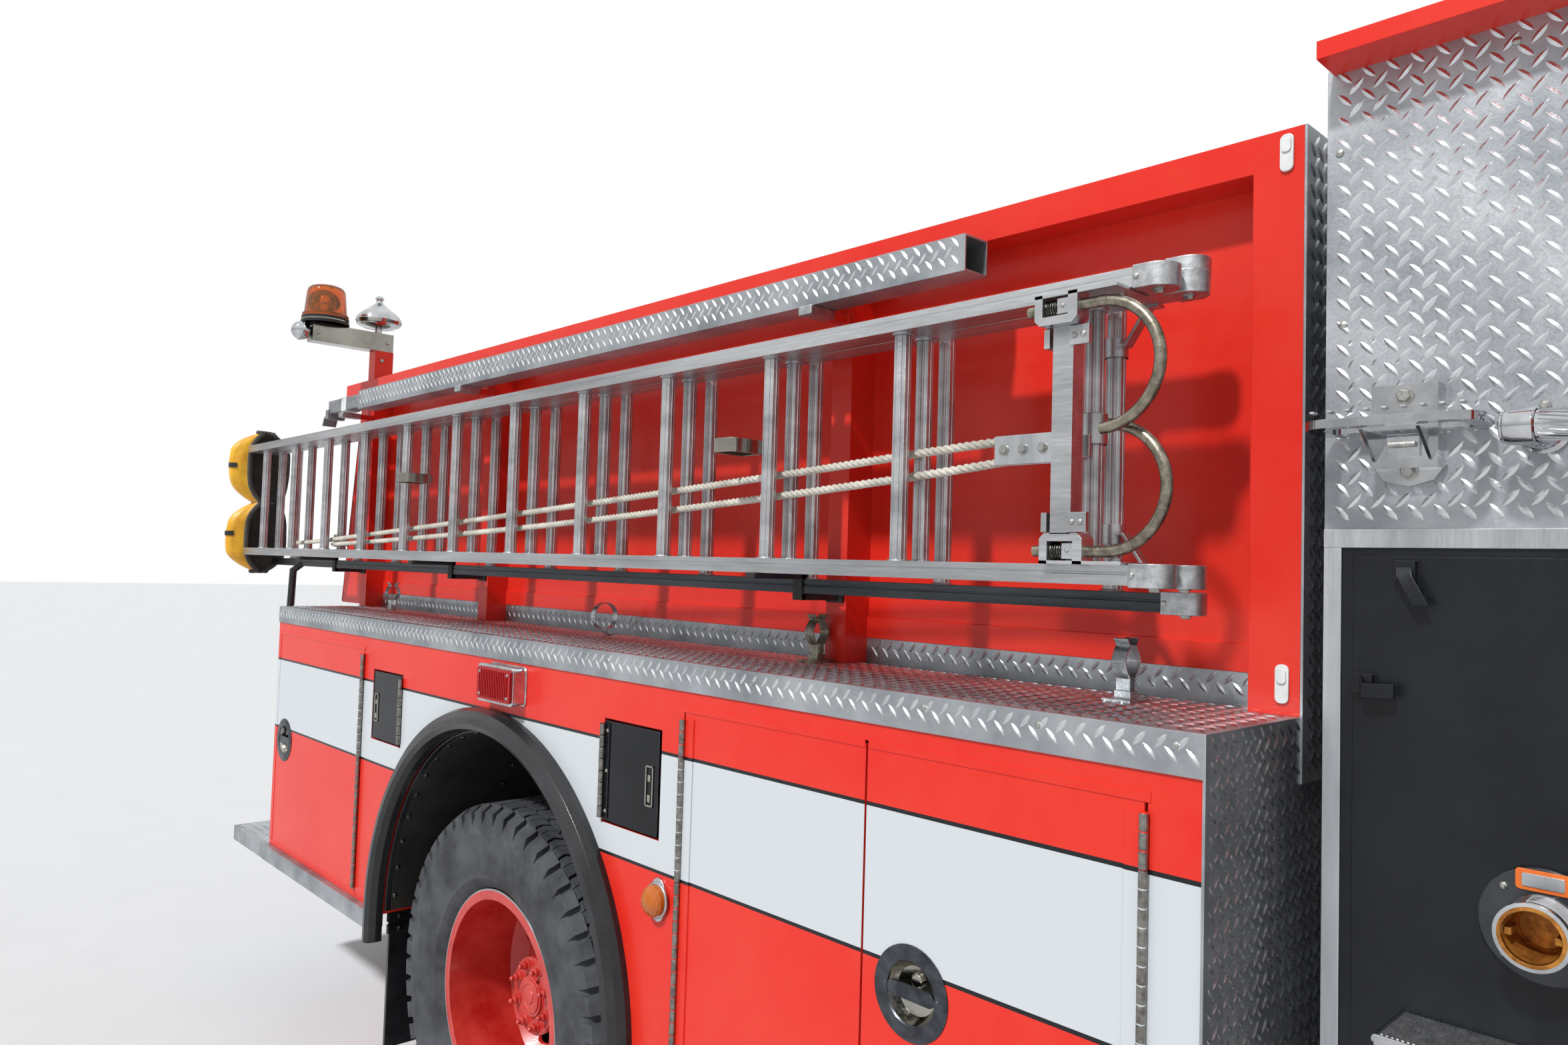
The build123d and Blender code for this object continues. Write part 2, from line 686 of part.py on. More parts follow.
write(arch_lips, "wheel_arch_rubber")

# Pump house behind the cab
with BuildPart() as pump_house:
    y = pump_y - panel_thick
    block((pump_rear_x, pump_front_x), (-y, y), (pump_low_z, pump_top_z))
    block((pump_rear_x + pump_wall, pump_front_x - pump_wall), (-y + pump_wall, y - pump_wall),
          (pump_low_z - 5, pump_top_z - pump_wall), Mode.SUBTRACT)
    block((pump_rear_x - 5, pump_front_x + 5), (-body_inner_y - 10, body_inner_y + 10),
          (pump_low_z - 5, rail_top_z + 20), Mode.SUBTRACT)
write(pump_house, "pump_house")
with BuildPart() as tread_panels:
    for side in (-1, 1):
        block((pump_rear_x, pump_front_x), (side * (pump_y - panel_thick), side * pump_y),
              (pump_seam_z, pump_top_z))
write(tread_panels, "pump_upper_panels")
with BuildPart() as pump_panels:
    for side in (-1, 1):
        block((pump_rear_x, pump_front_x), (side * (pump_y - panel_thick), side * pump_y),
              (pump_low_z, pump_seam_z))
write(pump_panels, "pump_panels")

# Outlets on each pump panel: x, z, pipe radius, bore radius, reach, escutcheon radius
outlet_table = (
    (330.0, 1300.0, 38.0, 31.0, 70.0, 66.5),
    (700.0, 1000.0, 95.0, 76.0, 110.0, 166.0),
    (980.0, 1300.0, 38.0, 31.0, 70.0, 66.5),
)
escutcheon_thick = 8.0
with BuildPart() as outlets:
    for side in (-1, 1):
        for x, z, pipe_r, bore_r, reach, escutcheon_r in outlet_table:
            rod((x, side * pump_y, z), (x, side * (pump_y + escutcheon_thick), z), escutcheon_r)
            rod((x, side * pump_y, z), (x, side * (pump_y + reach), z), pipe_r)
            rod((x, side * (pump_y - 1), z), (x, side * (pump_y + reach + 1), z), bore_r, Mode.SUBTRACT)
write(outlets, "pump_outlets")


def folding_step(side, x_mid, z):
    """A cast loop tread on a bracket against the pump panel."""
    with BuildSketch(Plane.XY.offset(z - step_thick)) as tread:
        with Locations((x_mid, side * (pump_y + step_reach / 2))):
            RectangleRounded(step_length, step_reach, step_corner)
            RectangleRounded(step_length - 2 * step_rim, step_reach - 2 * step_rim, step_corner - step_rim,
                             mode=Mode.SUBTRACT)
    extrude(tread.sketch, amount=step_thick)
    block((x_mid - step_corner, x_mid + step_corner), (side * pump_y, side * (pump_y + bracket_reach)),
          (z - bracket_drop, z + bracket_rise))


def handrail(start, end, foot, radius):
    """A straight rail held off its panel by a foot near each end; foot is the way back to it."""
    along = (Vector(*end) - Vector(*start)).normalized() * foot_inset
    rod(start, end, radius)
    for point in (Vector(*start) + along, Vector(*end) - along):
        rod(tuple(point), tuple(point + Vector(*foot)), radius * 0.75)


foot_inset = 30.0
bracket_reach = 30.0
bracket_drop = 61.0
bracket_rise = 52.0
folding_step_xs = (180.0, 1135.0)
folding_step_z = 1930.0
plate_steps = ((175.0, 315.0, 1148.0), (100.0, 1240.0, 752.0))
rail_x = (300.0, 960.0)
rail_z = 1910.0
rail_r = 19.0
rail_off = 68.0
rear_rail_y = 520.0
rear_rail_z = (700.0, 1400.0)
rear_rail_r = 16.0
rear_rail_off = 57.0
with BuildPart() as steps_and_rails:
    for side in (-1, 1):
        for x_mid in folding_step_xs:
            folding_step(side, x_mid, folding_step_z)
        for x_low, x_high, z in plate_steps:
            block((x_low, x_high), (side * pump_y, side * (pump_y + step_reach)), (z - step_thick, z))
        rail_y = side * (pump_y + rail_off)
        handrail((rail_x[0], rail_y, rail_z), (rail_x[1], rail_y, rail_z), (0, -side * rail_off, 0), rail_r)
        rear_x = body_rear_x - rear_rail_off
        handrail((rear_x, side * rear_rail_y, rear_rail_z[0]), (rear_x, side * rear_rail_y, rear_rail_z[1]),
                 (rear_rail_off, 0, 0), rear_rail_r)
write(steps_and_rails, "steps_and_rails")


def cab_outline(inset):
    """The cab's side outline as (x, z) points, set in by a wall."""
    return (
        (cab_rear_x + inset, cab_low_z + inset),
        (cab_front_x - inset, cab_low_z + inset),
        (cab_front_x - inset, cab_belt_z),
        (cab_top_front_x - inset, cab_roof_z - inset),
        (cab_rear_x + inset, cab_roof_z - inset),
    )


def door_shape(inset, y_low, y_high, mode):
    """The cab door's outline, cut by the wheel arch's lip."""
    with BuildSketch(Plane(origin=(0, y_low, 0), x_dir=(1, 0, 0), z_dir=(0, -1, 0))) as shape:
        with BuildLine():
            Polyline((cab_door_rear_x + inset, cab_door_low_z + inset),
                     (cab_door_front_x - inset, cab_door_low_z + inset),
                     (cab_door_front_x - inset, cab_door_top_z - inset),
                     (cab_door_rear_x + inset, cab_door_top_z - inset), close=True)
        make_face()
        with Locations((front_axle_x, tyre_r)):
            Circle(arch_r + arch_lip + inset, mode=Mode.SUBTRACT)
    extrude(shape.sketch, amount=y_low - y_high, mode=mode)


window_rear_x = cab_door_rear_x + window_rear_frame
window_front_x = cab_door_front_x - window_front_frame
rake = (cab_front_x - cab_top_front_x) / (cab_roof_z - cab_belt_z)
screen_plane = Plane(origin=(cab_front_x, 0, cab_belt_z), x_dir=(0, 1, 0), z_dir=(1, 0, rake))
screen_low, screen_high, screen_half = 70.0, 900.0, 1090.0
screen_post = 40.0
screen_inset = 20.0
with BuildPart() as cab_shell:
    side_plate(cab_outline(0), -cab_half, cab_half)
    soft = [edge for edge in cab_shell.edges()
            if edge.center().Z > cab_low_z + 1 and edge.center().X > cab_rear_x + 1
            and (abs(edge.center().Y) > cab_half - 1 or edge.center().Z > cab_roof_z - 1)]
    fillet(soft, cab_corner_r)
    side_plate(cab_outline(cab_wall), -cab_half + cab_wall, cab_half - cab_wall, Mode.SUBTRACT)
    block((cab_rear_x + gap, cab_front_x - gap), (-cab_half + gap, cab_half - gap),
          (cab_floor_z - cab_floor_thick, cab_floor_z))
    block((cab_rear_x + cab_wall, cab_front_x - cab_wall), (-cab_half + cab_wall, cab_half - cab_wall),
          (cab_low_z - gap, cab_floor_z - cab_floor_thick), Mode.SUBTRACT)
    for side in (-1, 1):
        rod((front_axle_x, side * (arch_inner_y - arch_back), tyre_r), (front_axle_x, side * cab_half, tyre_r),
            arch_r + arch_lip)
        turned([(side * (cab_half - 1), arch_r - 5), (side * (cab_half - 1), arch_r + arch_lip - 5),
                (side * (cab_half + arch_flare), arch_r + arch_lip / 2),
                (side * (cab_half + arch_flare), arch_r - 5)], front_axle_x, tyre_r)
        block((front_seat_x[0] - seat_corner, front_seat_x[1] + cab_wall),
              (side * (arch_inner_y - arch_back), side * (cab_half - cab_wall - 2 * gap)),
              (cab_floor_z - gap, seat_base_z - seat_gap))
    block((engine_x[0] - cab_wall, cab_front_x - cover_setback), (-cover_half, cover_half),
          (cab_floor_z - cab_floor_thick / 2, cover_top_z))
    block((engine_x[0] - cab_wall + engine_cover, cab_front_x - cover_setback - engine_cover),
          (-cover_half + engine_cover, cover_half - engine_cover),
          (cab_floor_z - cab_floor_thick - gap, cover_top_z - engine_cover), Mode.SUBTRACT)
    for side in (-1, 1):
        flare_y = side * (cab_half + arch_flare + gap)
        rod((front_axle_x, side * arch_inner_y, tyre_r), (front_axle_x, flare_y, tyre_r), arch_r, Mode.SUBTRACT)
        block((front_axle_x - arch_r - arch_lip, front_axle_x + arch_r + arch_lip),
              (side * (arch_inner_y - arch_back - gap), flare_y), (tyre_r - arch_r - arch_lip, cab_low_z),
              Mode.SUBTRACT)
        block((front_axle_x - arch_r - arch_lip - gap, front_axle_x + arch_r + arch_lip + gap),
              (0, side * arch_inner_y), (tyre_r - arch_r - arch_lip, cab_floor_z - cab_floor_thick),
              Mode.SUBTRACT)
        y_pair = sorted((side * (cab_half - cab_wall - gap), side * (cab_half + 1)))
        door_shape(0, y_pair[0], y_pair[1], Mode.SUBTRACT)
        block((cab_rear_x + crew_post, crew_front_x), y_pair, (cab_floor_z, window_top_z), Mode.SUBTRACT)
    tunnel_y = rail_outer_y + 4 * gap
    block((cab_rear_x - gap, cab_front_x - cab_wall - gap), (-tunnel_y, tunnel_y),
          (cab_low_z - gap, rail_top_z + 2 * gap), Mode.SUBTRACT)
    block((cab_front_x - cab_wall - 2 * gap, cab_front_x + gap), (-rail_outer_y - gap / 2, rail_outer_y + gap / 2),
          (rail_low_z - gap / 2, rail_top_z + gap / 2), Mode.SUBTRACT)
    with BuildSketch(screen_plane.offset(screen_inset)):
        with Locations((0, (screen_low + screen_high) / 2)):
            Rectangle(2 * screen_half, screen_high - screen_low)
            Rectangle(screen_post, screen_high - screen_low, mode=Mode.SUBTRACT)
    extrude(amount=-2 * cab_wall - screen_inset, mode=Mode.SUBTRACT)
write(cab_shell, "cab_shell")

with BuildPart() as cab_glass:
    with BuildSketch(screen_plane.offset(-screen_inset)):
        for side in (-1, 1):
            with Locations((side * (screen_half + screen_post / 2) / 2, (screen_low + screen_high) / 2)):
                Rectangle(screen_half - screen_post / 2 - 2 * seat_gap,
                          screen_high - screen_low - 2 * seat_gap)
    extrude(amount=glass_thick)
write(cab_glass, "windscreen")

cab_hinge_zs = (850.0, 1300.0, 1450.0, 2300.0)
cab_hinge_half = 40.0
cab_hinge_leaf = 60.0
for side, hand in ((-1, "right"), (1, "left")):
    y_out = side * cab_half
    y_pair = sorted((y_out, side * (cab_half - cab_wall)))
    with BuildPart() as cab_door:
        door_shape(gap, y_pair[0], y_pair[1], Mode.ADD)
        block((window_rear_x, window_front_x), (y_pair[0] - 1, y_pair[1] + 1),
              (window_low_z, window_top_z), Mode.SUBTRACT)
        pin_y = y_out + side * (hinge_r + hinge_lift)
        for z in cab_hinge_zs:
            z_span = (z - cab_hinge_half, z + cab_hinge_half)
            rod((cab_door_front_x, pin_y, z_span[0]), (cab_door_front_x, pin_y, z_span[1]), hinge_r)
            block((cab_door_front_x - cab_hinge_leaf, cab_door_front_x), (y_out, y_out + side * 3), z_span)
    write(cab_door, f"cab_door_{hand}")
    with BuildPart() as door_glass:
        mid = side * (cab_half - cab_wall / 2)
        block((window_rear_x + seat_gap, window_front_x - seat_gap),
              (mid - glass_thick / 2, mid + glass_thick / 2), (window_low_z + seat_gap, window_top_z - seat_gap))
    write(door_glass, f"cab_door_glass_{hand}")

# Grille and headlamp plates; the lamp table gives each lamp's distance from the centre line
grille_half = 480.0
grille_z = (1000.0, 1420.0)
grille_frame = 30.0
grille_depth = 18.0
bar_pitch = 40.0
bar_half = 6.0
plate_y = (560.0, 1080.0)
plate_z = (1060.0, 1300.0)
headlamp_ys = (700.0, 930.0)
bezel_r = 96.0
headlamp_r = 84.0
with BuildPart() as front_panel:
    x_span = (cab_front_x, cab_front_x + grille_depth)
    clear_z = (grille_z[0] + grille_frame, grille_z[1] - grille_frame)
    clear_half = grille_half - grille_frame
    block(x_span, (-grille_half, grille_half), grille_z)
    block((cab_front_x - 1, x_span[1] + 1), (-clear_half, clear_half), clear_z, Mode.SUBTRACT)
    for row in range(int((clear_z[1] - clear_z[0]) / bar_pitch)):
        z = clear_z[0] + (row + 0.5) * bar_pitch
        block((cab_front_x, x_span[1] - 4), (-clear_half - gap, clear_half + gap), (z - bar_half, z + bar_half))
    for side in (-1, 1):
        block(x_span, (side * plate_y[0], side * plate_y[1]), plate_z)
write(front_panel, "grille")

with BuildPart() as bumper:
    back_x = front_reach - bumper_depth
    block((back_x, front_reach), (-cab_half, cab_half), bumper_z)
    fillet(bumper.edges().filter_by(Axis.Z).sort_by(Axis.X)[-2:], bumper_depth - bumper_wall)
    block((back_x - 1, front_reach - bumper_wall), (bumper_depth - cab_half, cab_half - bumper_depth),
          (bumper_z[0] + bumper_wall, bumper_z[1] - bumper_wall), Mode.SUBTRACT)
    block((cab_front_x, back_x), (-cab_half, cab_half), (rail_top_z, rail_top_z + bumper_wall))
    block((back_x, back_x + bumper_wall), (-cab_half, cab_half), (bumper_z[1], rail_top_z + bumper_wall))
write(bumper, "front_bumper")

bar_x = cab_front_x - 400
bar_size = (300.0, 1240.0, 150.0)
bar_foot = (100.0, 40.0, 30.0)
with BuildPart() as light_bar:
    with BuildSketch(Plane.XY.offset(cab_roof_z + bar_foot[2])) as bar_plan:
        with Locations((bar_x, 0)):
            RectangleRounded(bar_size[0], bar_size[1], bar_size[0] * 0.45)
    extrude(bar_plan.sketch, amount=bar_size[2])
    for side in (-1, 1):
        foot_y = side * bar_size[1] / 3
        block((bar_x - bar_foot[0] / 2, bar_x + bar_foot[0] / 2), (foot_y, foot_y + side * bar_foot[1]),
              (cab_roof_z, cab_roof_z + bar_foot[2]))
write(light_bar, "light_bar")

mirror_arm_x = cab_front_x - 120
mirror_reach = 210.0
mirror_corner = 40.0
mirror_mid_y = cab_half + mirror_reach
mirror_size = (180.0, 540.0, 60.0)
mirror_mid_z = 1925.0
mirror_arms = (1620.0, 2200.0)
arm_r = 12.0
with BuildPart() as mirrors:
    for side in (-1, 1):
        for z in mirror_arms:
            rod((mirror_arm_x, side * cab_half, z), (mirror_arm_x, side * (mirror_mid_y + arm_r), z), arm_r)
        with BuildSketch(Plane(origin=(mirror_arm_x - mirror_size[2] / 2, 0, 0), x_dir=(0, 1, 0),
                               z_dir=(1, 0, 0))) as head:
            with Locations((side * mirror_mid_y, mirror_mid_z)):
                RectangleRounded(mirror_size[0], mirror_size[1], mirror_corner)
        extrude(head.sketch, amount=mirror_size[2])
        rod((mirror_arm_x, side * mirror_mid_y, mirror_arms[0] - arm_r),
            (mirror_arm_x, side * mirror_mid_y, mirror_arms[1] + arm_r), arm_r)
write(mirrors, "mirrors")

def cushion(x_low, x_high, y_low, y_high, z_low, z_high):
    """A seat pad: rounded side outline, drawn out across the seat."""
    with BuildSketch(Plane(origin=(0, y_low, 0), x_dir=(1, 0, 0), z_dir=(0, -1, 0))) as pad:
        with Locations(((x_low + x_high) / 2, (z_low + z_high) / 2)):
            RectangleRounded(x_high - x_low, z_high - z_low, seat_corner)
    extrude(pad.sketch, amount=y_low - y_high)


with BuildPart() as seats:
    for side in (-1, 1):
        front_pair = sorted((side * front_seat_y[0], side * front_seat_y[1]))
        crew_pair = sorted((side * crew_seat_y[0], side * crew_seat_y[1]))
        lap = back_thick / 10
        cushion(*front_seat_x, *front_pair, seat_base_z, cushion_top_z)
        cushion(front_seat_x[0] + lap - back_thick, front_seat_x[0] + lap, *front_pair, seat_base_z, back_top_z)
        cushion(*crew_seat_x, *crew_pair, seat_base_z, cushion_top_z)
        cushion(crew_seat_x[1] - lap, crew_seat_x[1] - lap + back_thick, *crew_pair, seat_base_z, back_top_z)
        block((crew_seat_x[0] + plinth_inset, crew_seat_x[1] + plinth_inset),
              (crew_pair[0] + plinth_inset, crew_pair[1] - plinth_inset), (cab_floor_z, seat_base_z))
write(seats, "seats")

# Dashboard across the cab, with the steering column and wheel on the left
dash_x = (cab_front_x - 290, cab_front_x - cab_wall - 20)
dash_z = (1250.0, 1480.0)
dash_half = 1100.0
dash_leg = (100.0, 40.0)
column_y = 760.0
column_r = 22.0
column_foot = (dash_x[0] + 10, column_y, 1400.0)
wheel_centre = (dash_x[0] - 170, column_y, 1527.0)
column_way = Vector(*wheel_centre) - Vector(*column_foot)
wheel_r = 215.0
grip_r = 14.0
wheel_hub = (40.0, 30.0)
spoke_width = 24.0
with BuildPart() as dash:
    block(dash_x, (-dash_half, dash_half), dash_z)
    for side in (-1, 1):
        leg_y = side * (dash_half - dash_leg[1] / 2)
        block((dash_x[0] + dash_leg[1], dash_x[0] + dash_leg[1] + dash_leg[0]),
              (leg_y, leg_y - side * dash_leg[1]), (cab_floor_z, dash_z[0]))
    rod(column_foot, wheel_centre, column_r)
    with BuildPart(Plane(origin=wheel_centre, z_dir=column_way), mode=Mode.PRIVATE) as wheel:
        Torus(wheel_r, grip_r)
        Cylinder(*wheel_hub)
        with PolarLocations(wheel_r / 2, 3):
            Box(wheel_r - grip_r / 2, spoke_width, grip_r)
    add(wheel.part)
write(dash, "dashboard")


def ladder(y, low_z, top_z, front_x, first_rung_x):
    """A solid-beam ladder lying on its side: two beams and a row of round rungs."""
    y_pair = (y - ladder_depth / 2, y + ladder_depth / 2)
    nose_x = front_x - beam_cap_half
    for z in (low_z, top_z):
        block((front_x - ladder_length, nose_x), y_pair, (z - beam_height / 2, z + beam_height / 2))
        block((nose_x - beam_cap_length, nose_x), y_pair, (z - beam_cap_half, z + beam_cap_half))
        rod((nose_x, y_pair[0], z), (nose_x, y_pair[1], z), beam_cap_half)
    rungs = int((first_rung_x - front_x + ladder_length - end_clear) / rung_pitch) + 1
    for i in range(rungs):
        x = first_rung_x - i * rung_pitch
        rod((x, y, low_z), (x, y, top_z), rung_r)


with BuildPart() as roof_ladder:
    ladder(-roof_ladder_y, ladder_low_z, ladder_top_z, ladder_front_x, roof_first_rung_x)
    shank_low_z = ladder_low_z + shank_inset
    shank_top_z = ladder_top_z - shank_inset
    for z, y, toward in ((shank_low_z, hook_y, -1), (shank_top_z, hook_y + hook_spread, 1)):
        block((hook_x - casting_length, hook_x), (-y - casting_half, -roof_ladder_y),
              sorted((z - toward * casting_half, z + toward * (shank_inset - beam_height / 2 + 1))))
        rod((hook_x - casting_length - gap, -y, z), (hook_x + gap, -y, z), hook_tube_r + pin_fit,
            Mode.SUBTRACT)
    bar_rear_x = hook_x - (casting_length + hook_bar) / 2
    bar_face_y = -hook_y - casting_half
    block((bar_rear_x, bar_rear_x + hook_bar), (bar_face_y, bar_face_y + ladder_depth / 2),
          (shank_low_z + casting_half, shank_top_z - casting_half))
write(roof_ladder, "roof_ladder")

# Folding hooks: name, shank height, shank distance from the centre, way it bends
hook_table = (
    ("roof_hook_top", shank_top_z, hook_y + hook_spread, -1),
    ("roof_hook_bottom", shank_low_z, hook_y, 1),
)
for name, shank_z, shank_y, toward in hook_table:
    with BuildPart() as hook:
        with BuildLine() as hook_path:
            start = (hook_x - shank_tail, -shank_y, shank_z)
            bend_x = hook_x + shank_nose
            bend = (bend_x, -shank_y, shank_z)
            belly = (bend_x + hook_radius, -shank_y, shank_z + toward * hook_radius)
            tip = (bend_x + hook_radius * cos(radians(hook_sweep)), -shank_y,
                   shank_z + toward * hook_radius * (1 + sin(radians(hook_sweep))))
            Line(start, bend)
            ThreePointArc(bend, belly, tip)
        with BuildSketch(Plane(origin=start, z_dir=(1, 0, 0))):
            Circle(hook_tube_r)
        sweep()
    write(hook, name)

with BuildPart() as extension_ladder:
    ladder(-fly_ladder_y, ladder_low_z, ladder_top_z, ladder_front_x, fly_first_rung_x)
    ladder(-bed_ladder_y, ladder_low_z - bed_extra, ladder_top_z + bed_extra, ladder_front_x - bed_lag,
           fly_first_rung_x + bed_lag)
write(extension_ladder, "extension_ladder")

# Rack arms on the posts, and the tread-plate trough that they carry above the ladders
arm_half = 25.0
arm_thick = 20.0
trough_x = (-3460.0, -560.0)
trough_y = (-1029.0, -959.0)
trough_z = (2275.0, 2345.0)
with BuildPart() as ladder_rack:
    foot_z = ladder_low_z - bed_extra - beam_height / 2 - seat_gap
    fly_face_y = -bed_ladder_y - ladder_depth / 2 - 1
    for x in post_xs:
        x_span = (x - arm_half, x + arm_half)
        block(x_span, (fly_face_y - 1, -wall_outer_y), (foot_z - arm_thick, foot_z))
        block(x_span, (-roof_ladder_y - ladder_depth / 2 - 2 * gap, fly_face_y),
              (foot_z - arm_thick, foot_z + bed_extra))
        block(x_span, (trough_y[0] - gap, -wall_outer_y), (trough_z[0] - arm_thick, trough_z[0] - seat_gap))
write(ladder_rack, "ladder_rack")

with BuildPart() as trough:
    block(trough_x, trough_y, trough_z)
    block((trough_x[0] - 1, trough_x[1] + 1), (trough_y[0] + sheet, trough_y[1] - sheet),
          (trough_z[0] + sheet, trough_z[1] - sheet), Mode.SUBTRACT)
write(trough, "pole_trough")

# Lamp arm on its post: lamp sections as (radius, height)
arm_x = -3630.0
arm_post_half = 30.0
arm_post_depth = 70.0
arm_y = (-1162.0, -844.0)
arm_low_z = 2540.0
arm_top_z = 2612.0
ball_r = 36.0
ball_y = arm_y[0] - ball_r + 3
beacon_r = 86.0
beacon_seat_z = 2638.0
beacon_y = -1107.0
work_lamp_y = -896.0
beacon_section = ((0, 0), (85, 0), (85, 14), (79, 22), (70, 104), (64, 118), (50, 126), (0, 130))
work_lamp_section = (
    (0, 0), (14, 0), (14, 20), (60, 26), (84, 38), (89, 52), (84, 66), (66, 84),
    (42, 102), (24, 116), (12, 128), (10, 136), (16, 144), (10, 154), (0, 157),
)
with BuildPart() as lamp_arm:
    x_span = (arm_x - arm_post_half, arm_x + arm_post_half)
    block(x_span, (-wall_outer_y, -wall_outer_y + arm_post_depth), (wall_top_z, arm_low_z))
    block(x_span, arm_y, (arm_low_z, arm_top_z))
    spun([(0, arm_top_z), (beacon_r, arm_top_z), (beacon_r, beacon_seat_z), (0, beacon_seat_z)],
         arm_x, beacon_y)
    with Locations((arm_x, ball_y, (arm_low_z + arm_top_z) / 2)):
        Sphere(ball_r)
    spun([(r, arm_top_z + z) for r, z in work_lamp_section], arm_x, work_lamp_y)
write(lamp_arm, "lamp_arm")
with BuildPart() as beacon:
    spun([(r, beacon_seat_z + z) for r, z in beacon_section], arm_x, beacon_y)
write(beacon, "amber_beacon")

# Halyard: two falls from a clip on the fly's first rung back to a knot on another rung
rope_r = 7.0
fall_front_x = -330.0
fall_rear_x = -3950.0
fall_zs = ((1915.0, 1762.0), (1893.0, 1740.0))
clip_length = 161.0
clip_half = 8.0
clip_z = (1885.0, 1930.0)
knot_rung = 10
with BuildPart() as halyard:
    rope_y = -(roof_ladder_y + fly_ladder_y) / 2
    knot_x = fly_first_rung_x - knot_rung * rung_pitch
    for front_z, rear_z in fall_zs:
        rod((fall_front_x, rope_y, front_z), (fall_rear_x, rope_y, rear_z), rope_r)
        knot_share = (fall_front_x - knot_x) / (fall_front_x - fall_rear_x)
        with Locations((knot_x, rope_y, front_z + knot_share * (rear_z - front_z))):
            Sphere((roof_ladder_y - fly_ladder_y) / 2 - rung_r - seat_gap)
    clip_front_x = fly_first_rung_x - rung_r - seat_gap
    block((clip_front_x - clip_length, clip_front_x), (rope_y - clip_half, -fly_ladder_y + clip_half), clip_z)
write(halyard, "halyard")

cover_y = (-1175.0, -965.0)
cover_z = (1620.0, 2250.0)
cover_corner = 45.0
with BuildPart() as bag:
    block((-rear_reach, cover_depth - rear_reach - seat_gap), cover_y, cover_z)
    fillet(bag.edges().filter_by(Axis.Y), cover_corner)
write(bag, "yellow_ladder_cover")

side_lamp_x = (-1951.0, -1762.0)
side_lamp_z = (1340.0, 1440.0)
side_lamp_reach = 50.0
marker_place = (-1180.0, 1003.0)
marker_r = 42.0
tail_lamp_y = 1000.0
tail_lamp_r = 60.0
small_lamp_reach = 30.0
lamp_z = 1180.0
rear_lamp_z = 1230.0
with BuildPart() as lamps:
    lamp_x = cab_front_x + grille_depth
    for side in (-1, 1):
        body_y = side * half_width
        for y in headlamp_ys:
            rod((lamp_x, side * y, lamp_z), (lamp_x + 12, side * y, lamp_z), bezel_r)
            rod((lamp_x, side * y, lamp_z), (lamp_x + 26, side * y, lamp_z), headlamp_r)
        block(side_lamp_x, (body_y, body_y + side * side_lamp_reach), side_lamp_z)
        rod((marker_place[0], body_y, marker_place[1]),
            (marker_place[0], body_y + side * small_lamp_reach, marker_place[1]), marker_r)
        rod((body_rear_x, side * tail_lamp_y, rear_lamp_z),
            (body_rear_x - small_lamp_reach, side * tail_lamp_y, rear_lamp_z), tail_lamp_r)
write(lamps, "lamps")
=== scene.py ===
import json
from math import cos, pi, radians, sin

import bmesh
import bpy
import numpy as np
from mathutils import Matrix, Vector, noise


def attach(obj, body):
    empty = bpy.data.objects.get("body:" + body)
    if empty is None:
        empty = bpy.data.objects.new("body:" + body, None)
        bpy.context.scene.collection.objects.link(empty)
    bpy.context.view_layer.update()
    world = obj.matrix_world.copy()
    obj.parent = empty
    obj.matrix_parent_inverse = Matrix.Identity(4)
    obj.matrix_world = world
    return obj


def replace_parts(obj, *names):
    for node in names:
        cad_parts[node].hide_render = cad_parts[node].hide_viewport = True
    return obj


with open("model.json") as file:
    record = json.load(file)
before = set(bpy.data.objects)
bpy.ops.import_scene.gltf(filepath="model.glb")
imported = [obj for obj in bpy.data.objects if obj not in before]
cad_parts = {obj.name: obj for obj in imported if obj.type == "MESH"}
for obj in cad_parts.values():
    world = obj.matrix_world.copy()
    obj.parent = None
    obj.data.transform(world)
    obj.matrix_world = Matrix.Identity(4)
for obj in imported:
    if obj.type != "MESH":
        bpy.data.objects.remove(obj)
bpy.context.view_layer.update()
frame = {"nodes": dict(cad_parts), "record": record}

# Sizes are in millimetres in the vehicle's frame: X forward, Y to its left, Z up
MM = 0.001
BODY_Y = 1219.0
PUMP_Y = 1001.0
CAB_Y = 1190.0
DECK_Z = 1508.0
LIP_Y = 1223.0
HIGH_Y = 914.0
HIGH_SHEET_Y = 839.0
REAR_X = -3633.0
STRIPE_LOW, STRIPE_HIGH = 1062.0, 1307.0
AXLE_Z = 525.0
REAR_AXLE_X = -1948.0
FRONT_AXLE_X = 2752.0
FRONT_TYRE_Y, REAR_TYRE_YS = 1015, (1059, 734)
ARCH_Z = 625
# The high side's posts, the last three of which carry the ladder rack
POST_XS = (-37, -980, -2610, -3620)
RACK_XS = POST_XS[1:]
# Ladders: the middle of each across the vehicle, the heights of their beams, and their rungs
ROOF_LADDER_Y, FLY_LADDER_Y, BED_LADDER_Y = -1129, -1066, -1000
BEAM_LOW_Z, BEAM_TOP_Z = 1715, 2160
BED_BEAM_LOW_Z, BED_BEAM_TOP_Z = 1674, 2201
FIRST_RUNG_X, RUNG_PITCH, RUNG_COUNT = -263, 355.6, 12
# Pump house: its ends, the black panel, the tread plate above it, the folding steps and the rail
PUMP_REAR_X, PUMP_FRONT_X = 69, 1250
PANEL_LOW_Z, PANEL_TOP_Z, PLATE_LOW_Z = 725, 1763, 1787
STEP_XS, STEP_Z = (180, 1135), 1930
RAIL_FOOT_XS, RAIL_Z = (330, 930), 1910
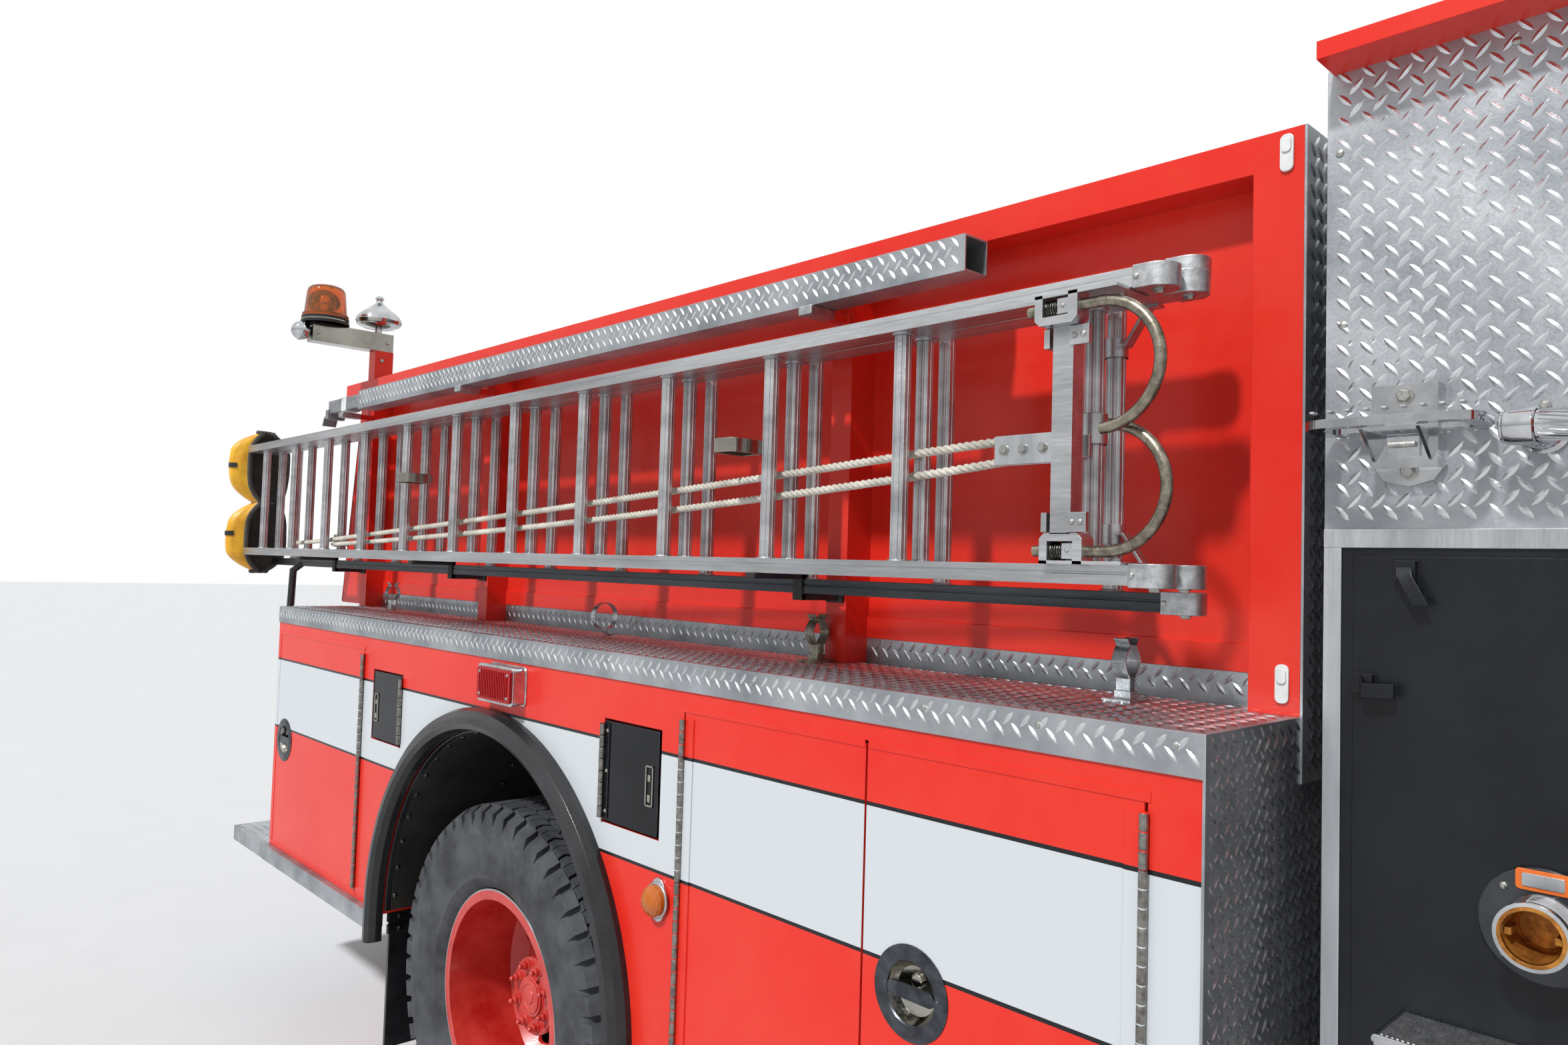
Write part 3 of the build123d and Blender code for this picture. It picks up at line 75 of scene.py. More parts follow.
# Pole trough, tailboard and lamp arm
TROUGH_X, TROUGH_Y, TROUGH_Z = (-3460, -560), (-1029, -959), (2275, 2345)
TAIL_REAR_X, TAIL_TOP_Z = -4063, 596
ARM_X, ARM_TOP_Z, BEACON_Y, WORK_LAMP_Y, BALL_LAMP_Y = -3630, 2612, -1107, -896, -1195
SIDES = (("right", -1), ("left", 1))
X, Y, Z = Vector((1, 0, 0)), Vector((0, 1, 0)), Vector((0, 0, 1))


def place_camera():
    """The camera, fitted to the ladder rungs and body edges of the photograph."""
    yaw, pitch, roll = 0.7504964845, 0.0427009341, 0.0298221847
    forward = Vector((-cos(yaw) * cos(pitch), sin(yaw) * cos(pitch), sin(pitch)))
    level = forward.cross(Z).normalized()
    upright = level.cross(forward)
    right = cos(roll) * level + sin(roll) * upright
    up = cos(roll) * upright - sin(roll) * level
    data = bpy.data.cameras.new("camera")
    data.sensor_width, data.lens = 36.0, 24.38
    stand = Vector((0.6498, -2.5971, 1.7113))
    camera = bpy.data.objects.new("camera", data)
    bpy.context.collection.objects.link(camera)
    turn = Matrix((right, up, -forward)).transposed().to_4x4()
    camera.matrix_world = Matrix.Translation(stand) @ turn
    bpy.context.scene.camera = camera


place_camera()


# ---- Finishes ----
def linear(code):
    """An sRGB hex colour as linear red, green, blue and alpha."""
    parts = [int(code[i:i + 2], 16) / 255 for i in (1, 3, 5)]
    return tuple(c / 12.92 if c <= 0.04045 else ((c + 0.055) / 1.055) ** 2.4 for c in parts) + (1.0,)


def node(tree, kind, inputs=None, out=0, **settings):
    """Adds a node with its settings and its inputs' values or links, and gives one of its outputs.

    A Mix of colours has its factor in input 0, its colours in 6 and 7 and the mixed one in output 2.
    """
    made = tree.nodes.new("ShaderNode" + kind)
    for key, value in settings.items():
        setattr(made, key, value)
    for key, value in (inputs or {}).items():
        if isinstance(value, bpy.types.NodeSocket):
            tree.links.new(value, made.inputs[key])
        else:
            made.inputs[key].default_value = value
    return made.outputs[out]


def begin(name):
    """A new material, its tree and the place on the object in metres."""
    material = bpy.data.materials.new(name)
    material.use_nodes = True
    tree = material.node_tree
    return material, tree, node(tree, "TexCoord", out=3)


def dress(material, sockets):
    """Sets or links the shader's own sockets."""
    tree = material.node_tree
    shader = tree.nodes["Principled BSDF"]
    for key, value in sockets.items():
        if isinstance(value, bpy.types.NodeSocket):
            tree.links.new(value, shader.inputs[key])
        else:
            shader.inputs[key].default_value = value
    return material


def drift(tree, place, size_mm, tones, span, detail, roughness):
    """Noise of a real size as a share between two heights, and two tones mixed by it."""
    cloud = node(tree, "TexNoise", {"Vector": place, "Scale": 1000 / size_mm, "Detail": detail,
                                    "Roughness": roughness})
    share = node(tree, "MapRange", {"Value": cloud, "From Min": span[0], "From Max": span[1]})
    low, high = tones
    return share, node(tree, "Mix", {0: share, 6: linear(low), 7: linear(high)}, out=2, data_type="RGBA")


def clouded(name, low, high, rough, cloud_mm, metallic=0.0, grit_mm=3.0, grit_height=0.1, edge_mm=1.0,
            worn=None, drawn=(1, 1, 1), coat=0.0):
    """A finish that drifts between two tones and two roughnesses, with grit of a real size.

    drawn stretches the clouds along the way that the surface was rolled or brushed, edge_mm rounds the
    edges that catch the light, and worn is the tone that rubbed edges show.
    """
    material, tree, place = begin(name)
    along = node(tree, "Mapping", {"Vector": place, "Scale": drawn})
    tone, colour = drift(tree, along, cloud_mm, (low, high), (0.35, 0.65), 5.0, 0.6)
    grit = node(tree, "TexNoise", {"Vector": along, "Scale": 1000 / grit_mm, "Detail": 2.0})
    soft = node(tree, "Bevel", {"Radius": edge_mm * MM}, samples=4)
    if worn:
        flat = node(tree, "NewGeometry", out=1)
        turn = node(tree, "VectorMath", {0: soft, 1: flat}, out=1, operation="DOT_PRODUCT")
        rubbed = node(tree, "MapRange", {"Value": turn, "From Min": 0.98, "From Max": 0.8})
        patchy = node(tree, "Math", {0: rubbed, 1: tone}, operation="MULTIPLY")
        colour = node(tree, "Mix", {0: patchy, 6: colour, 7: linear(worn)}, out=2, data_type="RGBA")
    shine = node(tree, "MapRange", {"Value": grit, "From Min": 0.3, "From Max": 0.7, "To Min": rough[0],
                                    "To Max": rough[1]})
    grain = node(tree, "Bump", {"Height": grit, "Distance": grit_height * MM, "Strength": 0.6,
                                "Normal": soft})
    return dress(material, {"Base Color": colour, "Metallic": metallic, "Roughness": shine, "Normal": grain,
                            "Coat Weight": coat, "Coat Roughness": 0.08})


def coach_enamel(name, low, high, banded):
    """Baked red coach enamel, deep and glossy over faintly wavy sheet, with a bloom of dust.

    The banded panels carry the white band and its black borders on their outer face.
    """
    material, tree, place = begin(name)
    colour = drift(tree, place, 380, (low, high), (0.4, 0.75), 6.0, 0.7)[1]
    if banded:
        across = node(tree, "SeparateXYZ", {"Vector": place}, out=1)
        height = node(tree, "SeparateXYZ", {"Vector": place}, out=2)
        reach = node(tree, "Math", {0: across}, operation="ABSOLUTE")
        outer = node(tree, "Math", {0: reach, 1: (BODY_Y - 0.6) * MM}, operation="GREATER_THAN")
        for border, tone in ((7.0, "#15161A"), (0.0, "#C8CED2")):
            centre, half = (STRIPE_LOW + STRIPE_HIGH) / 2, (STRIPE_HIGH - STRIPE_LOW) / 2 + border
            inside = node(tree, "Math", {0: height, 1: centre * MM, 2: half * MM}, operation="COMPARE")
            band = node(tree, "Math", {0: inside, 1: outer}, operation="MULTIPLY")
            colour = node(tree, "Mix", {0: band, 6: colour, 7: linear(tone)}, out=2, data_type="RGBA")
    wave = node(tree, "TexNoise", {"Vector": place, "Scale": 1000 / 140, "Detail": 1.0})
    speck = node(tree, "TexNoise", {"Vector": place, "Scale": 1000 / 2.5, "Detail": 2.0})
    soft = node(tree, "Bevel", {"Radius": 2.0 * MM}, samples=4)
    skin = node(tree, "Bump", {"Height": wave, "Distance": 1.2 * MM, "Strength": 0.35, "Normal": soft})
    shine = node(tree, "MapRange", {"Value": speck, "From Min": 0.3, "From Max": 0.7, "To Min": 0.28,
                                    "To Max": 0.4})
    return dress(material, {"Base Color": colour, "Roughness": shine, "Normal": skin, "Coat Weight": 0.1,
                            "Coat Roughness": 0.1, "Specular IOR Level": 0.3})


def moulded_lens(name, tone, rib_mm, through, milk=0.12):
    """Moulded acrylic lens: tinted through, polished, with fine upright ribs inside."""
    material, tree, place = begin(name)
    ribs = node(tree, "TexWave", {"Vector": place, "Scale": 1000 / rib_mm / (2 * pi)}, out=1,
                bands_direction="X")
    ribbed = node(tree, "Bump", {"Height": ribs, "Distance": 0.8 * MM, "Strength": 0.5})
    deep = node(tree, "TexNoise", {"Vector": place, "Scale": 1000 / 35})
    milky = node(tree, "MapRange", {"Value": deep, "From Min": 0.3, "From Max": 0.7, "To Max": milk})
    colour = node(tree, "Mix", {0: milky, 6: linear(tone), 7: linear("#FFFFFF")}, out=2, data_type="RGBA")
    return dress(material, {"Base Color": colour, "Roughness": 0.08, "Transmission Weight": through,
                            "IOR": 1.49, "Normal": ribbed})


def woven_cloth(name, low, high, thread_mm, rough, coat=0.0):
    """Woven threads of a real pitch, clouded with grime."""
    material, tree, place = begin(name)
    colour = drift(tree, place, 70, (low, high), (0.35, 0.7), 6.0, 0.7)[1]
    pitch = 1000 / thread_mm / (2 * pi)
    warp = node(tree, "TexWave", {"Vector": place, "Scale": pitch}, out=1, bands_direction="Z")
    weft = node(tree, "TexWave", {"Vector": place, "Scale": pitch}, out=1, bands_direction="Y")
    weave = node(tree, "Math", {0: warp, 1: weft}, operation="MULTIPLY")
    threads = node(tree, "Bump", {"Height": weave, "Distance": 0.4 * MM, "Strength": 0.5})
    return dress(material, {"Base Color": colour, "Roughness": rough, "Normal": threads, "Sheen Weight": 0.2,
                            "Coat Weight": coat, "Coat Roughness": 0.25})


def safety_glass():
    """Laminated safety glass, faintly green, with a trace of grime."""
    material, tree, place = begin("laminated_safety_glass")
    film = node(tree, "TexNoise", {"Vector": place, "Scale": 1000 / 200, "Detail": 5.0})
    haze = node(tree, "MapRange", {"Value": film, "From Min": 0.45, "From Max": 0.7, "To Min": 0.01,
                                   "To Max": 0.06})
    return dress(material, {"Base Color": linear("#DCE8E2"), "Roughness": haze, "Transmission Weight": 1.0,
                            "IOR": 1.5})


# A clouded finish gives its two tones, the range of its roughness, the size of its clouds, how metallic
# it is, the size and height of its grit, the rounding of its edges and the tone of its worn edges
# Red enamel: the body's bright red, and the wheels' deeper, dustier one
enamel = coach_enamel("red_coach_enamel", "#DC271A", "#E03C2B", False)
striped = coach_enamel("red_coach_enamel_striped", "#DC271A", "#E03C2B", True)
wheel_enamel = clouded("dusty_red_wheel_enamel", "#B3201B", "#CB4037", (0.25, 0.42), 90.0, edge_mm=2.0,
                       worn="#CF7A6E", coat=0.2)
# Rolled tread plate: mill-bright aluminium, clouded by weather, and its bars rubbed brighter by use
tread_plate = clouded("rolled_tread_plate", "#90959A", "#B8BCC0", (0.38, 0.55), 140.0, 0.88, 4.0, 0.25, 1.2,
                      "#D8DBDE")
tread_bars = clouded("rubbed_tread_bars", "#C2C6CA", "#E2E5E8", (0.22, 0.36), 110.0, 1.0, 3.0, 0.08, 0.6)
# Extruded ladder aluminium: dull, drawn along its length, bright where hands and rungs rub
ladder_aluminium = clouded("extruded_aluminium", "#A6A8AA", "#CDCFD1", (0.3, 0.5), 60.0, 1.0, 2.5, 0.15, 1.2,
                           "#E0E1E2", drawn=(0.08, 1, 1))
# Lower beam of the inner ladder: the ladder's aluminium in smoky grey, satin; the dark tone is painted shade
shade_painted_aluminium = clouded("ladder_aluminium_painted_shade", "#3B3D40", "#585B5F", (0.32, 0.48), 60.0, 1.0, 2.5, 0.1,
                        1.2, "#7B7E82", drawn=(0.08, 1, 1))
# Sheet aluminium trim: satin, brushed upright
sheet_aluminium = clouded("brushed_sheet_aluminium", "#B0B4B7", "#CFD2D5", (0.3, 0.42), 50.0, 1.0, 3.0, 0.08,
                          1.0, drawn=(1, 1, 0.1))
# Sand-cast aluminium fittings: pale and satin from the mould
cast_aluminium = clouded("sand_cast_aluminium", "#A2A4A6", "#C8CACC", (0.34, 0.54), 14.0, 1.0, 2.0, 0.3, 1.5,
                         "#DEDFE0")
# Chrome plate: mirror-smooth with a haze of wipe marks; its tones are darker than bare chrome's, painted
# shade that dims what it mirrors
chrome = clouded("chrome_plate", "#AEB1B4", "#D2D4D6", (0.05, 0.13), 60.0, 1.0, 8.0, 0.03, 1.0)
# Lamp housings: chrome dulled by weather, so that it reads as a pale metal against the paint
dulled_chrome = clouded("dulled_chrome_plate", "#A3A6A9", "#D6D8DA", (0.2, 0.34), 40.0, 1.0, 3.0, 0.03, 1.5)
# Polished stainless pressings of the latch bowls, the clamps and the lamp arm
stainless = clouded("polished_stainless", "#96948B", "#B7B4AA", (0.1, 0.2), 120.0, 1.0, 3.0, 0.05, 1.0,
                    drawn=(0.3, 1, 1))
# Satin stainless of the latch flanges: reads dark against the red enamel
latch_steel = clouded("satin_dark_stainless", "#3C3F44", "#5A5E64", (0.26, 0.42), 30.0, 1.0, 3.0, 0.05, 1.0)
# Piano hinges: stainless, clouded with stains
hinge_steel = clouded("stained_stainless_hinge", "#6E6C67", "#9C9A94", (0.3, 0.5), 12.0, 1.0, 3.0, 0.1, 0.8)
# Hook tube: zinc plate gone brassy and stained by weather
hook_steel = clouded("brassy_zinc_plate", "#6E685C", "#A29B8C", (0.22, 0.46), 16.0, 1.0, 3.0, 0.1,
                     1.0, "#C3BCA8")
# Bolts: bright zinc plate, dulled
zinc = clouded("dull_zinc_plate", "#9C9D9A", "#BFBFBA", (0.24, 0.42), 9.0, 1.0, 2.0, 0.05, 0.6)
# Springs: oiled steel wire, nearly black
spring_steel = clouded("oiled_spring_steel", "#3A3936", "#6A6862", (0.24, 0.4), 9.0, 1.0, 2.0, 0.05, 0.6)
# Inside of a hose outlet: brass dulled to orange-brown
brass = clouded("weathered_brass", "#8A5420", "#C98A3C", (0.35, 0.6), 18.0, 0.6, 3.0, 0.2)
# Panel enamel: near-black with a blue cast, semi-gloss, chalky where dust was wiped
black_enamel = dress(clouded("black_panel_enamel", "#0D0F12", "#181C21", (0.28, 0.44), 170.0, 0.0, 3.0, 0.1,
                             1.5, "#3A3D42"), {"Specular IOR Level": 0.32})
# Escutcheons round the outlets: polished black plastic, greyer than the panel
escutcheon_black = clouded("polished_black_plastic", "#24272B", "#34383D", (0.12, 0.25), 60.0, 0.0,
                           3.0, 0.03, 1.2)
# Hatch enamel: black and mirror-glossy
gloss_black = dress(clouded("gloss_black_enamel", "#08090B", "#111318", (0.06, 0.14), 120.0, 0.0, 4.0, 0.02,
                            1.0), {"Specular IOR Level": 0.25})
# Chassis black: satin paint, browned by grime
chassis_black = clouded("satin_chassis_black", "#131313", "#2C2925", (0.5, 0.75), 110.0, 0.0, 4.0, 0.5, 2.0)
# Cast iron in red oxide paint, rough from the sand
cast_iron = clouded("painted_cast_iron", "#431813", "#672A20", (0.5, 0.8), 40.0, 0.0, 4.0, 0.8, 3.0)
# Tyre rubber: grey with dust, matt
tyre_rubber = clouded("dusty_tyre_rubber", "#2B2D30", "#4B4E53", (0.65, 0.9), 90.0, 0.0, 3.0, 0.4, 1.5,
                      "#5C5F63")
# Extruded arch rubber: black with a soft sheen
arch_rubber = clouded("extruded_black_rubber", "#151618", "#292B2E", (0.2, 0.34), 130.0, 0.0, 3.0, 0.25, 2.0,
                      "#4A4C50")
# Black moulded ABS with a fine leathery grain
black_plastic = clouded("grained_black_abs", "#151617", "#222325", (0.45, 0.65), 30.0, 0.0, 2.5, 0.3, 1.0)
# Moulded nylon: grey on the trough's bar, white on the guards
grey_nylon = clouded("grey_nylon", "#6B6D70", "#85878A", (0.45, 0.6), 30.0, 0.0, 3.0, 0.15, 1.0)
white_nylon = clouded("white_nylon", "#D4D6D6", "#E6E7E6", (0.35, 0.5), 30.0, 0.0, 3.0, 0.1, 1.0)
# Orange border enamel of the blank tags
orange_enamel = clouded("orange_tag_enamel", "#D9641C", "#E6762A", (0.35, 0.5), 20.0)
# Silvered mirror glass, nearly clean
mirror_glass = clouded("silvered_glass", "#DADDDF", "#E8EAEB", (0.02, 0.04), 300.0, 1.0, 60.0, 0.01)
# Seat vinyl: black, embossed like leather
seat_vinyl = clouded("black_seat_vinyl", "#17181A", "#26282B", (0.4, 0.58), 40.0, 0.0, 2.0, 0.5, 2.0)
# Lenses: the red ones deep and nearly opaque, amber half clear, the beacon's dome and the headlamps clearest
amber_lens = moulded_lens("amber_acrylic", "#F07F0A", 4.0, 0.45, 0.05)
red_lens = dress(moulded_lens("red_acrylic", "#A6080D", 9.0, 0.1, 0.0), {"Specular IOR Level": 0.2})
dome_lens = moulded_lens("clear_amber_polycarbonate", "#F49A1C", 9.0, 0.92, 0.03)
clear_lens = moulded_lens("clear_acrylic", "#EEF1F2", 9.0, 0.8)
glass = safety_glass()
# Three-strand polyester rope: off-white, clouded grey
rope_fibre = woven_cloth("white_polyester_rope", "#A9A498", "#DAD6CA", 1.4, 0.75)
# Coated nylon of the ladder cover, its charcoal lining and the black webbing
yellow_cloth = woven_cloth("yellow_coated_nylon", "#D99A00", "#F4BC12", 1.2, 0.45, 0.15)
grey_lining = woven_cloth("charcoal_lining", "#34332F", "#55514A", 1.4, 0.85)
webbing = woven_cloth("black_webbing", "#141416", "#242528", 2.0, 0.8)

# The finishes of each of the record's slots: CAD nodes have the first one, new pieces any of them
slot_finishes = {
    "frame_paint": (chassis_black,),
    "engine_iron": (cast_iron,),
    "red_paint": (enamel, striped, wheel_enamel),
    "tread_plate": (tread_plate, tread_bars),
    "black_paint": (black_enamel, escutcheon_black),
    "bare_aluminium": (ladder_aluminium, shade_painted_aluminium, sheet_aluminium, cast_aluminium, grey_nylon),
    "chrome_plate": (chrome, dulled_chrome, stainless, latch_steel, hinge_steel, zinc, brass),
    "hook_steel": (hook_steel,),
    "tyre_rubber": (tyre_rubber,),
    "rubber_trim": (arch_rubber,),
    "window_glass": (glass, mirror_glass),
    "rope_fibre": (rope_fibre,),
    "yellow_vinyl": (yellow_cloth, grey_lining, webbing),
    "seat_vinyl": (seat_vinyl,),
    "dash_plastic": (black_plastic,),
    "lamp_plastic": (black_plastic, amber_lens, red_lens, dome_lens, clear_lens, orange_enamel),
}
node_finishes = {"lamp_arm": stainless, "mirrors": chrome, "pump_outlets": chrome, "hatch_rear": gloss_black,
                 "hatch_front": gloss_black}
for hand in ("right", "left"):
    node_finishes[f"front_rim_{hand}"] = wheel_enamel
    node_finishes[f"rear_rims_{hand}"] = wheel_enamel
    node_finishes[f"lower_body_{hand}"] = striped
    for leaf in ("rear", "middle", "front"):
        node_finishes[f"locker_door_{leaf}_{hand}"] = striped
part_slots = {part["node"]: part["material_slot"] for part in frame["record"]["subparts"]}
for name, held in frame["nodes"].items():
    finish = node_finishes.get(name, slot_finishes[part_slots[name]][0])
    held.data.materials.clear()
    held.data.materials.append(finish)


# ---- Making pieces ----
class Shape:
    """The points and faces of one piece, in millimetres."""

    def __init__(self):
        self.points, self.faces = [], []

    def patch(self, points, faces):
        base = len(self.points)
        self.points.extend(tuple(point) for point in points)
        self.faces.extend(tuple(base + i for i in face) for face in faces)

    def block(self, x, y, z):
        """A block between two values on each axis."""
        x, y, z = sorted(x), sorted(y), sorted(z)
        corners = [(a, b, c) for a in x for b in y for c in z]
        self.patch(corners, [(0, 1, 3, 2), (4, 6, 7, 5), (0, 4, 5, 1), (2, 3, 7, 6), (0, 2, 6, 4),
                             (1, 5, 7, 3)])

    def turned(self, outline, centre, axis, sides=32, sweep=2 * pi, first=None):
        """Turns an outline of (radius, reach) points about an axis through a centre."""
        axis = Vector(axis).normalized()
        first = (Vector(first) if first else axis.orthogonal()).normalized()
        second = axis.cross(first)
        centre = Vector(centre)
        rings = sides if sweep > 6.28 else sides + 1
        count = len(outline)
        points = []
        for step in range(rings):
            angle = sweep * step / sides
            out = first * cos(angle) + second * sin(angle)
            points += [centre + out * radius + axis * reach for radius, reach in outline]
        faces = []
        for step in range(sides):
            here, there = step * count, (step + 1) % rings * count
            for i in range(count - 1):
                if outline[i][0] < 0.01:
                    faces.append((here + i, there + i + 1, here + i + 1))
                elif outline[i + 1][0] < 0.01:
                    faces.append((here + i, there + i, here + i + 1))
                else:
                    faces.append((here + i, there + i, there + i + 1, here + i + 1))
        self.patch(points, faces)

    def tube(self, path, radius, sides=12, closed=False):
        """A round bar along a path: radius is one value or one for each point."""
        path = [Vector(point) for point in path]
        count = len(path)
        radii = radius if hasattr(radius, "__len__") else [radius] * count
        points, side = [], None
        for i, point in enumerate(path):
            before = path[i - 1] if (i or closed) else point
            after = path[(i + 1) % count] if (i < count - 1 or closed) else point
            along = (after - before).normalized()
            side = along.orthogonal() if side is None else side - along * side.dot(along)
            side.normalize()
            other = along.cross(side)
            points += [point + (side * cos(2 * pi * k / sides) + other * sin(2 * pi * k / sides)) * radii[i]
                       for k in range(sides)]
        faces = []
        for i in range(count if closed else count - 1):
            here, there = i * sides, (i + 1) % count * sides
            faces += [(here + k, here + (k + 1) % sides, there + (k + 1) % sides, there + k)
                      for k in range(sides)]
        if not closed:
            faces += [tuple(range(sides - 1, -1, -1)), tuple(range((count - 1) * sides, count * sides))]
        self.patch(points, faces)

    def strap(self, path, across, width, thick):
        """A flat strap along a path, its width along a fixed way across."""
        path = [Vector(point) for point in path]
        across = Vector(across).normalized()
        points = []
        for i, point in enumerate(path):
            along = (path[min(i + 1, len(path) - 1)] - path[max(i - 1, 0)]).normalized()
            rise = along.cross(across) * thick / 2
            reach = across * width / 2
            points += [point - reach - rise, point + reach - rise, point + reach + rise, point - reach + rise]
        faces = [(3, 2, 1, 0), tuple(4 * (len(path) - 1) + k for k in range(4))]
        for i in range(len(path) - 1):
            faces += [(4 * i + k, 4 * i + (k + 1) % 4, 4 * i + 4 + (k + 1) % 4, 4 * i + 4 + k)
                      for k in range(4)]
        self.patch(points, faces)

    def plate(self, outline, origin, u, v, thick):
        """A plate with an outline in the u, v plane at an origin, thickened towards u x v."""
        u, v = Vector(u), Vector(v)
        back = [Vector(origin) + u * a + v * b for a, b in outline]
        count = len(back)
        faces = [tuple(range(count - 1, -1, -1)), tuple(range(count, 2 * count))]
        faces += [(i, (i + 1) % count, count + (i + 1) % count, count + i) for i in range(count)]
        self.patch(back + [point + u.cross(v) * thick for point in back], faces)

    def make(self, name, material, slot=None, body="chassis", edge=0.0, smooth=35.0, closed=True):
        """Makes the piece, rounds its edges and rides it on its body; its slot argument is not used."""
        mesh = bpy.data.meshes.new(name)
        mesh.from_pydata([tuple(c * MM for c in point) for point in self.points], [], self.faces)
        if closed:
            shell = bmesh.new()
            shell.from_mesh(mesh)
            bmesh.ops.recalc_face_normals(shell, faces=shell.faces)
            shell.to_mesh(mesh)
            shell.free()
        mesh.validate()
        mesh.shade_smooth()
        mesh.set_sharp_from_angle(angle=radians(smooth))
        mesh.materials.append(material)
        piece = bpy.data.objects.new(name, mesh)
        bpy.context.collection.objects.link(piece)
        if edge:
            bevel = piece.modifiers.new("edge", "BEVEL")
            bevel.width, bevel.segments, bevel.limit_method = edge * MM, 2, "ANGLE"
            bevel.angle_limit = radians(40)
            bevel.harden_normals = True
        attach(piece, body)
        return piece


def shapes(count):
    """Empty shapes, one for each piece of a group."""
    return [Shape() for _ in range(count)]


def rounded(width, height, radius, steps=5):
    """A rounded rectangle's outline about its centre."""
    points = []
    for quarter, (sx, sy) in enumerate(((1, 1), (-1, 1), (-1, -1), (1, -1))):
        for step in range(steps + 1):
            angle = radians(90 * quarter + 90 * step / steps)
            points.append((sx * (width / 2 - radius) + radius * cos(angle),
                           sy * (height / 2 - radius) + radius * sin(angle)))
    return points


def round_points(radius, count, first=0.0):
    """Points round a circle, the first one at an angle in degrees."""
    return [(radius * cos(radians(first + 360 * i / count)), radius * sin(radians(first + 360 * i / count)))
            for i in range(count)]


def bolt(shape, place, outward, radius=8.0, height=6.0):
    """A hexagon head on its washer."""
    place, outward = Vector(place), Vector(outward)
    shape.turned([(radius * 1.35, 0), (radius * 1.35, height * 0.25), (0, height * 0.25)], place, outward, 16)
    shape.turned([(radius, height * 0.25), (radius, height * 0.85), (radius * 0.86, height), (0, height)],
                 place, outward, 6)


def screw(shape, place, outward, radius=6.0):
    """A domed screw head."""
    shape.turned([(radius, 0), (radius * 0.85, radius * 0.35), (radius * 0.45, radius * 0.55),
                  (0, radius * 0.6)], place, outward, 12)


# ---- Tread plate ----
# One raised bar: its outline and ridge, as (along, across, rise)
BAR = [(-14.5, 0, 0), (-8, -3.3, 0), (0, -4.3, 0), (8, -3.3, 0), (14.5, 0, 0), (8, 3.3, 0), (0, 4.3, 0),
       (-8, 3.3, 0), (-8.5, 0, 1.8), (0, 0, 2.4), (8.5, 0, 1.8)]
BAR_FACES = [(0, 1, 8), (1, 2, 9, 8), (2, 3, 10, 9), (3, 4, 10), (4, 5, 10), (5, 6, 9, 10),
             (6, 7, 8, 9), (7, 0, 8)]


def tread(shape, origin, u, v, width, height, keep=None):
    """The raised bars of tread plate on a rectangle: two sets that lean opposite ways on one lattice."""
    pitch_u, pitch_v, reach, lean_u, lean_v = 31.0, 33.0, 10.5, 0.669, 0.743
    origin, u, v = Vector(origin), Vector(u), Vector(v)
    out = u.cross(v)
    for shift, lean in ((0.25, 1), (0.75, -1)):
        along, across = u * lean_u + v * lean * lean_v, v * lean_u - u * lean * lean_v
        for column in range(int(width / pitch_u) + 1):
            for row in range(int(height / pitch_v) + 1):
                a, b = (column + shift) * pitch_u, (row + shift) * pitch_v
                if not (reach < a < width - reach and reach < b < height - reach):
                    continue
                if keep and not keep(a, b):
                    continue
                middle = origin + u * a + v * b
                shape.patch([middle + along * p + across * q + out * h for p, q, h in BAR], BAR_FACES)


def on_deck(x, inward):
    """Whether a bar at a distance from the deck's inner edge is clear of the high side's posts."""
    return all(abs(x - post_x) >= 50 or inward > 90 for post_x in POST_XS)


def clear_of_fittings(place_x, place_z):
    """Whether a bar on the pump house is clear of the steps' brackets and the rail's feet."""
    fittings = [(x, 50, 1860, 1990) for x in STEP_XS] + [(x, 34, 1878, 1945) for x in RAIL_FOOT_XS]
    return all(abs(place_x - mid_x) >= half or not low_z < place_z < high_z
               for mid_x, half, low_z, high_z in fittings)


def tread_piece(name, rectangles, body="chassis"):
    """One piece of bars on several rectangles, each an origin, two directions, a width and a height."""
    bars = Shape()
    for rectangle in rectangles:
        tread(bars, *rectangle)
    bars.make(name, tread_bars, body=body, closed=False)


